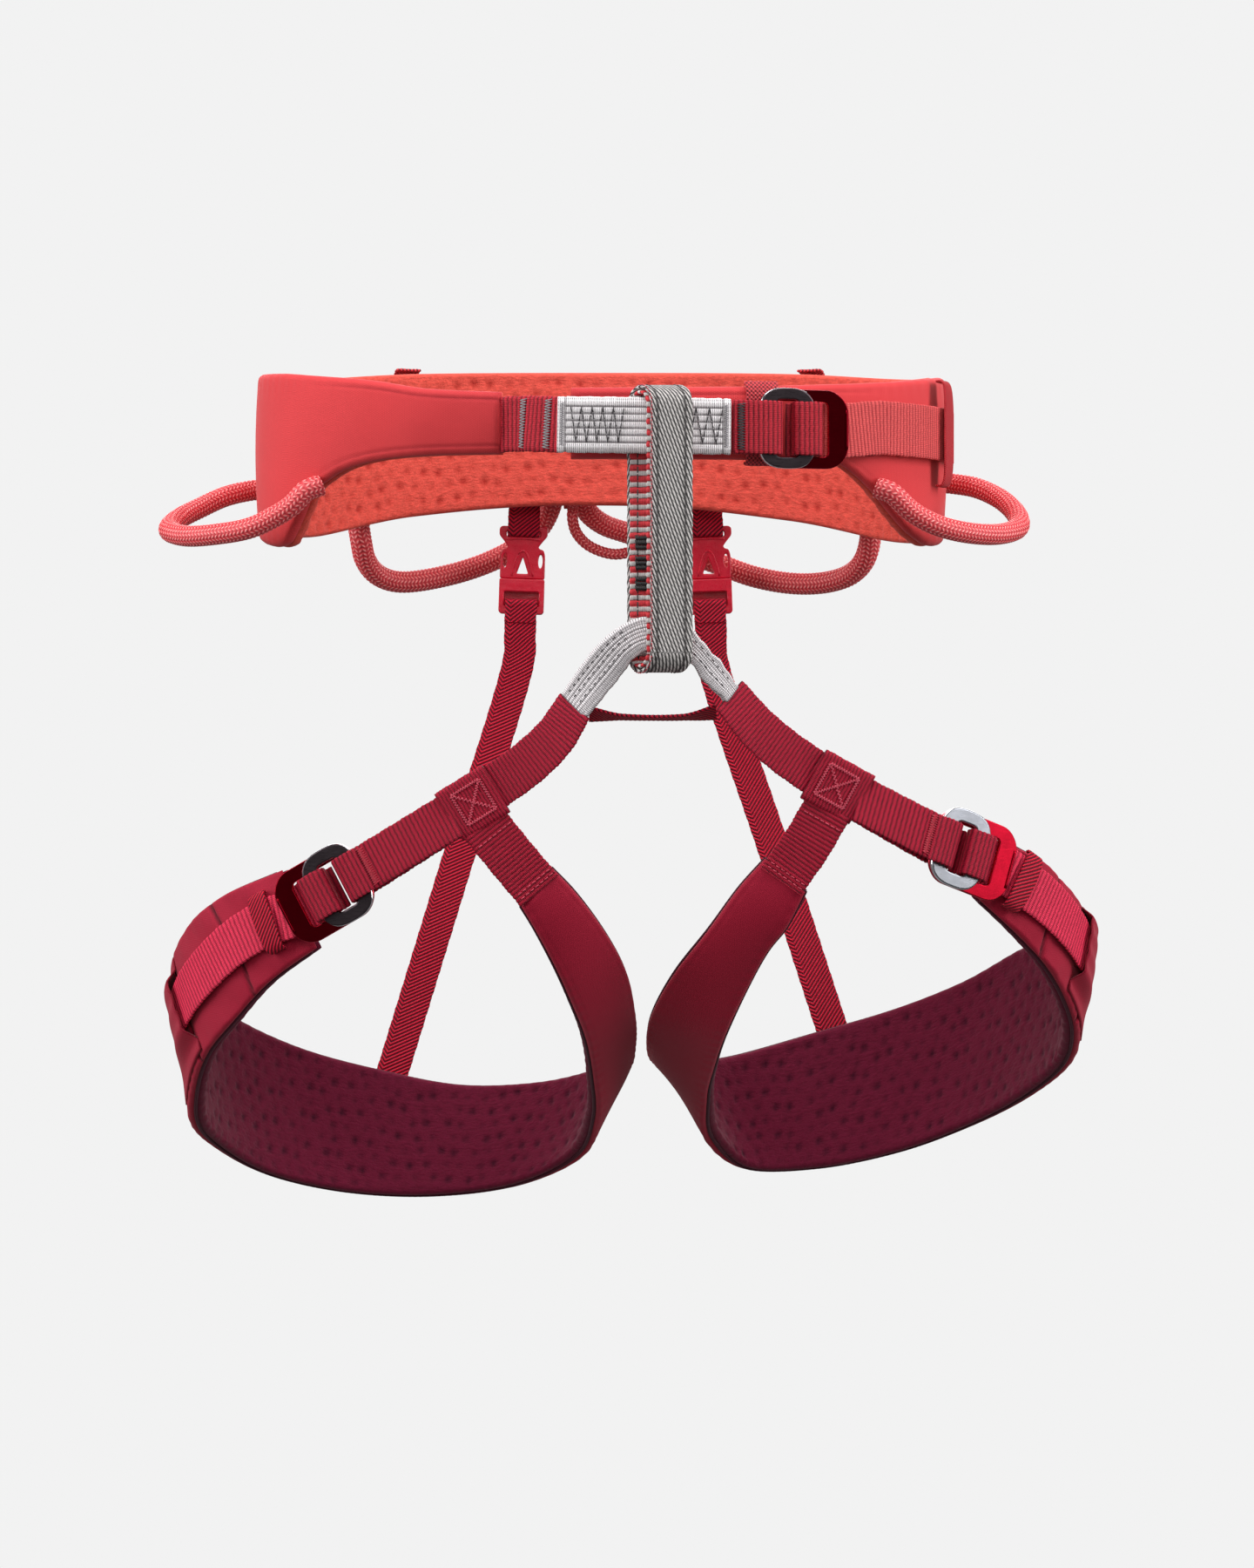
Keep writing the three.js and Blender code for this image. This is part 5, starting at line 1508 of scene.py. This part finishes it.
class LegBand:
    """The padded band's outer surface: its points and outward directions, at a place along and across it."""

    def __init__(self, side):
        self.upper = Curve([row[0] for row in LEG_STATIONS[side]])
        self.lower = Curve([row[1] for row in LEG_STATIONS[side]])
        self.flip = 1 if side == "right" else -1
        self.along = np.linspace(0, 1, 420)
        middle = (self.upper.at(self.along) + self.lower.at(self.along)) / 2
        self.travel = np.concatenate([[0], np.cumsum(np.linalg.norm(np.diff(middle, axis=0), axis=1))])
        self.height = np.linalg.norm(self.upper.at(self.along) - self.lower.at(self.along), axis=1)

    def on_band(self, along, share):
        low, high = self.lower.at(along), self.upper.at(along)
        return low + (high - low) * np.asarray(share)[..., None]

    def directions(self, along, share):
        step = 0.01
        before = self.on_band(np.maximum(along - step, 0), share)
        after = self.on_band(np.minimum(along + step, 1), share)
        tangent = unit(after - before)
        across = unit(self.upper.at(along) - self.lower.at(along))
        outward = unit(np.cross(tangent, across) * self.flip)
        return tangent, outward

    def place(self, along, share, outset):
        """Points for a column of places along, and rows of shares and outsets."""
        along, share, outset = np.broadcast_arrays(np.asarray(along, float)[:, None], share, outset)
        return self.on_band(along, share) + self.directions(along, share)[1] * outset[..., None]

    def point(self, along, share, outset):
        return self.place(np.array([along]), np.array([[share]]), np.array([[outset]]))[0, 0]

    def outward(self, along, share=0.5):
        return self.directions(np.array([along]), np.array([share]))[1][0]

    def tangent(self, along, share=0.5):
        return self.directions(np.array([along]), np.array([share]))[0][0]


def leg_shell_face(band):
    """The shell's outer face, with the seams that close its pocket for the tail."""

    def face(distance, up, tall):
        edge = np.abs(2 * up / tall)
        total = band.travel[-1]
        swell = 0.5 * np.sin(distance / 26 + up / 17) + 0.35 * np.sin(distance / 11 - up / 13)
        seams = sum(bell(distance - total * at - 3 * np.cos(up / tall * 3), 1.0) for at in (0.93, 0.845))
        hem = bell(edge * tall / 2 - (tall / 2 - 2.6), 0.5)
        gather = fade(edge, 0.55, 1.0) * 0.14 * np.sin(distance * 0.85 + 2 * np.sin(distance / 9))
        near_end = fade(distance, total * 0.8, total)
        crease = near_end * 0.5 * np.sin(distance / 4.1 + up / 5)
        rise = 0.5 * swell - 1.5 * seams - 0.22 * hem + gather + crease
        # The second value is the painted light: painted shade in the seams' grooves and along the hem.
        return rise, 1 - 0.95 * seams - 0.18 * hem

    return face


def edge_piping(name, band, share, body):
    """A thin cord sewn in where the shell meets the lining."""
    points = band.place(band.along, np.array([[share]]), np.array([[-3.1]]))[:, 0]

    # The twist is also the cord's painted light: painted shade in its grooves.
    def twist(distance, turn):
        return 0.75 + 0.25 * np.sin(3 * turn + distance * 2.4)

    piece = round_cord(name, points[::4], 0.75, LOOK["piping"], twist, 0.12, 1.2, 10)
    belongs(piece, body, "leg_lining_knit")


def leg_padding(side, band):
    shell = pad(
        f"leg_knit_{side}", band.along, band.place, band.height, band.travel, 0.2, 3.2, LOOK["leg_knit"],
        leg_shell_face(band), plain_face, 1.4, 26,
    )
    belongs(shell, f"leg_{side}", "leg_knit", f"leg_shell_{side}")
    lining = pad(
        f"leg_lining_soft_{side}", band.along, band.place, band.height - 1.2, band.travel, -2.8, 5.0,
        LOOK["leg_lining"], plain_face, soft_lining, 1.4, 36,
    )
    belongs(lining, f"leg_{side}", "leg_lining_knit", f"leg_lining_{side}")
    for share, edge in ((0.995, "upper"), (0.005, "lower")):
        edge_piping(f"leg_piping_{edge}_{side}", band, share, f"leg_{side}")


def run_on(route, before, after):
    """The route with its two ends carried on straight, to tuck under whatever covers them."""
    points = [vec(*p) for p in route]
    first = points[0] - unit(points[1] - points[0]) * before
    last = points[-1] + unit(points[-1] - points[-2]) * after
    return [first, *points, last]


def leg_front(side, rig):
    body = f"leg_{side}"
    lay = Lay(run_on(rig["webbing"], 2.5, 4.0), rig["webbing_facings"])
    width = LEG_WEBBING - 1.5
    piece = strap(f"leg_bridge_{side}", lay, width, WEBBING_THICKNESS, LOOK["leg_webbing"], cross_ribs(1.8))
    belongs(piece, None, "leg_webbing", f"leg_front_webbing_{side}")
    cross_joint(piece, "waist", body, vec(*rig["webbing"][0]), vec(*rig["webbing"][-1]))

    patch = BuckleFrame(rig["patch"], rig["patch_along"], (0, -1, 0))
    length, thickness = PATCH["side"], PATCH["thickness"]
    lay = Lay([patch.at(x, 0.0) for x in np.linspace(-length / 2, length / 2, 4)], [patch.n])
    ribs = cross_ribs(1.5, 0.26)
    piece = strap(f"leg_patch_{side}", lay, length, thickness, LOOK["leg_webbing"], ribs, columns=22)
    belongs(piece, body, "leg_webbing", f"leg_cross_patch_{side}")
    place = surface_of(lay, thickness)
    corners = [(4, -7), (17.5, -7), (17.5, 7), (4, 7), (4, -7), (17.5, 7)]
    runs = [zigzag(place, a, b, 0.7, 24, 0.2) for a, b in zip(corners[:-1], corners[1:])]
    runs.append(zigzag(place, (17.5, -7), (4, 7), 0.7, 34, 0.2))
    stitched(f"leg_patch_stitches_{side}", runs, THREAD, LOOK["crimson_thread"], body)

    lay = Lay(run_on(rig["tab"], 3.5, 5.5), [(0, -1, 0)])
    piece = strap(f"leg_tab_{side}", lay, LEG_WEBBING, TAB_THICKNESS, LOOK["leg_webbing"], cross_ribs(1.8))
    belongs(piece, body, "leg_webbing", f"leg_tab_webbing_{side}")
    place = surface_of(lay, TAB_THICKNESS)
    runs = []
    for at in (6.5, lay.length - 4.5, lay.length - 2.4):
        runs += dashes(place, (at, -LEG_WEBBING / 2 + 1.5), (at, LEG_WEBBING / 2 - 1.5), 2.4, 0.6, 0.14)
    stitched(f"leg_tab_stitches_{side}", runs, THREAD, LOOK["crimson_thread"], body)
    return patch


def leg_buckle(side, rig, band, patch):
    body, buckle_body = f"leg_{side}", f"leg_buckle_{side}"
    seat = BuckleFrame(*rig["ring"])
    # Painted reflection: the right leg's buckle takes the copies of the steel and anodized looks painted
    # darker, the left leg's the lighter ones.
    dark = side == "right"
    looks = (
        LOOK["steel_painted_dark" if dark else "steel_painted_pale"], LOOK["steel_painted_highlight"],
        LOOK["anodized_painted_dark" if dark else "red_anodized"], LOOK["anodized_rim_painted_highlight"],
    )
    buckle(f"leg_{side}", seat, buckle_body, looks, 5.8)
    start = patch.at(9.5, 0.0)
    reach = float(np.linalg.norm(seat.at(-14, 0) - start))
    bar_anchor(
        seat, start, LEG_WEBBING - 1, f"leg_anchor_{side}", LOOK["leg_webbing"], body, "leg_webbing",
        f"leg_buckle_webbing_{side}", LOOK["red_thread"], reach - 2,
    )
    strap_over_bar(
        seat, LEG_WEBBING - 1, f"leg_strap_over_bar_{side}", LOOK["leg_webbing"], buckle_body,
        "leg_webbing", f"leg_{side}_strap_fold",
    )
    route = [seat.at(9, BUCKLE["tail_level"]), seat.at(24, BUCKLE["tail_level"] - 0.2)]
    route += [band.point(t, rig["tail_share"], 3.8) for t in rig["tail_turns"]]
    first, middle, last = rig["tail_turns"][0], rig["tail_turns"][2], rig["tail_turns"][4]
    lay = Lay(route, [seat.n, band.outward(first), band.outward(middle), band.outward(last)])
    look = LOOK["leg_tail"]
    tail = strap(f"leg_tail_{side}", lay, LEG_WEBBING - 0.5, WEBBING_THICKNESS, look, cross_ribs(2.2))
    belongs(tail, None, "leg_webbing", f"leg_strap_tail_{side}")
    cross_joint(tail, buckle_body, body, seat.at(11, 0), seat.at(32, 0))
    level = BUCKLE["load_level"]
    lay = Lay([seat.at(1, level), seat.at(12, level), seat.at(20, level - 0.4)], [seat.n])
    ribs = cross_ribs(depth=0.25)
    load = strap(
        f"leg_load_strap_{side}", lay, LEG_WEBBING - 2, LOAD_STRAP_THICKNESS, LOOK["leg_webbing"], ribs,
    )
    belongs(load, None, "leg_webbing", f"leg_strap_{side}")
    cross_joint(load, buckle_body, body, seat.at(4, 0), seat.at(19, 0))
    keeper_band(
        f"leg_keeper_{side}", band.point(first, rig["tail_share"], 0.0), band.tangent(first),
        band.outward(first), LEG_WEBBING + 2, 6.0, 10, LOOK["elastic"], body, "elastic",
        f"leg_strap_keeper_{side}",
    )


def tail_pocket(side, rig, band):
    """The flap of the shell that the tail's end tucks under."""
    thickness = 0.9
    mouth, closed = rig["tail_turns"][4] + 0.028, rig["tail_turns"][4] - 0.075
    along = np.linspace(mouth, closed, 46)
    share = np.linspace(0.04, 0.96, 40)[None, :]
    tail = (LEG_WEBBING / 2 + 1.0) / float(np.interp(mouth, band.along, band.height))
    hump = 1 - fade(np.abs(share - rig["tail_share"]), tail, tail + 0.13)
    opening = fade(along, closed, mouth)[:, None]
    curl = 0.02 * np.cos((share - rig["tail_share"]) * math.pi)
    ripples = 0.3 * np.sin(share * 30) * opening
    outset = thickness + 5.2 * hump * opening**0.8 + 1.2 * (1 - (2 * share - 1) ** 2) + ripples
    stations = (along[:, None] - curl * opening).mean(1)
    top = band.place(stations, share, outset)
    under = band.place(stations, share, outset - thickness)
    rings = np.concatenate([top, under[:, ::-1]], 1)
    travel = np.interp(along, band.along, band.travel)[:, None]
    up = np.hstack([share, share[:, ::-1]]) * 50
    weave = np.stack(np.broadcast_arrays(travel, up, up * 0 + 1), -1)
    mouth_shade = 1 - 0.5 * bell((along - mouth)[:, None] * 400, 1.2) + 0 * up
    piece = skin(f"leg_tail_pocket_{side}", rings, LOOK["leg_knit"], weave, mouth_shade)
    belongs(piece, f"leg_{side}", "leg_knit")


def leg_loop(side):
    rig, band = LEG_RIG[side], LegBand(side)
    leg_padding(side, band)
    patch = leg_front(side, rig)
    leg_buckle(side, rig, band, patch)
    tail_pocket(side, rig, band)


# ---------------------------------------------------------------- camera, light and floor

CAMERA = {"distance": 1.9, "height": -0.146, "lens": 101.06}  # metres, and the lens in millimetres


def camera():
    data = bpy.data.cameras.new("camera")
    data.lens = CAMERA["lens"]
    data.sensor_width = 36
    data.clip_end = 30
    holder = bpy.data.objects.new("camera", data)
    holder.location = (0, -CAMERA["distance"], CAMERA["height"])
    holder.rotation_euler = (math.radians(90), 0, 0)
    bpy.context.scene.collection.objects.link(holder)
    bpy.context.scene.camera = holder


def softbox(name, place, target, size, power):
    data = bpy.data.lights.new(name, "AREA")
    data.shape = "RECTANGLE"
    data.size, data.size_y = size
    data.energy = power
    holder = bpy.data.objects.new(name, data)
    holder.location = place
    holder.rotation_euler = (Vector(target) - Vector(place)).to_track_quat("-Z", "Y").to_euler()
    holder.visible_camera = False
    bpy.context.scene.collection.objects.link(holder)


def studio():
    centre = (0, 0, -0.14)
    softbox("left_softbox", (-1.6, -0.5, 0.5), centre, (0.7, 1.6), 26)
    softbox("right_softbox", (1.6, -0.5, 0.5), centre, (0.7, 1.6), 26)
    softbox("top_softbox", (0, -0.5, 1.5), centre, (1.4, 1.0), 24)
    softbox("back_softbox", (0, 1.8, 0.6), centre, (1.8, 1.2), 22)
    softbox("front_softbox", (0, -2.4, 0.7), centre, (1.2, 0.8), 14)
    world = bpy.data.worlds.new("studio")
    world.use_nodes = True
    background = world.node_tree.nodes["Background"]
    background.inputs[0].default_value = (1, 1, 1, 1)
    background.inputs[1].default_value = 0.22
    bpy.context.scene.world = world
    bpy.context.scene.view_settings.view_transform = "Standard"


def floor():
    """A pale round floor that curves up into a wall, evenly lit from every side."""
    level, radius, curve, top = -0.6, 2.6, 1.2, 3.2
    profile = [(0, level), (radius * 0.5, level), (radius, level)]
    bend = np.linspace(0.2, math.pi / 2, 9)
    profile += [(radius + curve * math.sin(t), level + curve * (1 - math.cos(t))) for t in bend]
    profile.append((radius + curve, top))
    sides = 72
    points = [
        (r * math.cos(turn) / MM, r * math.sin(turn) / MM, z / MM)
        for r, z in profile for turn in np.arange(sides) / sides * TAU
    ]
    faces = [
        (i * sides + j, i * sides + (j + 1) % sides, (i + 1) * sides + (j + 1) % sides, (i + 1) * sides + j)
        for i in range(len(profile) - 1) for j in range(sides)
    ]
    look = bpy.data.materials.new("pale_floor")
    look.use_nodes = True
    surface = look.node_tree.nodes["Principled BSDF"]
    surface.inputs["Base Color"].default_value = (0, 0, 0, 1)
    surface.inputs["Specular IOR Level"].default_value = 0
    surface.inputs["Emission Color"].default_value = srgb(242, 242, 242)
    surface.inputs["Emission Strength"].default_value = 1.0
    piece = make_mesh("floor", points, faces, look)
    for ray in ("visible_diffuse", "visible_glossy", "visible_shadow", "visible_transmission"):
        setattr(piece, ray, False)


# ---------------------------------------------------------------- the whole harness

camera()
waist_belt()
tool_tab("tool_tab_braid_right", 122, "tool_tab_right")
tool_tab("tool_tab_braid_left", 55, "tool_tab_left")
upper_tie_in()
lower_tie_in()
belay_loop()
waist_buckle()
for side in SIDES:
    leg_loop(side)
    riser(side)
for name, loop in GEAR_LOOPS.items():
    gear_loop(name, loop["radius"], loop["route"])
studio()
floor()
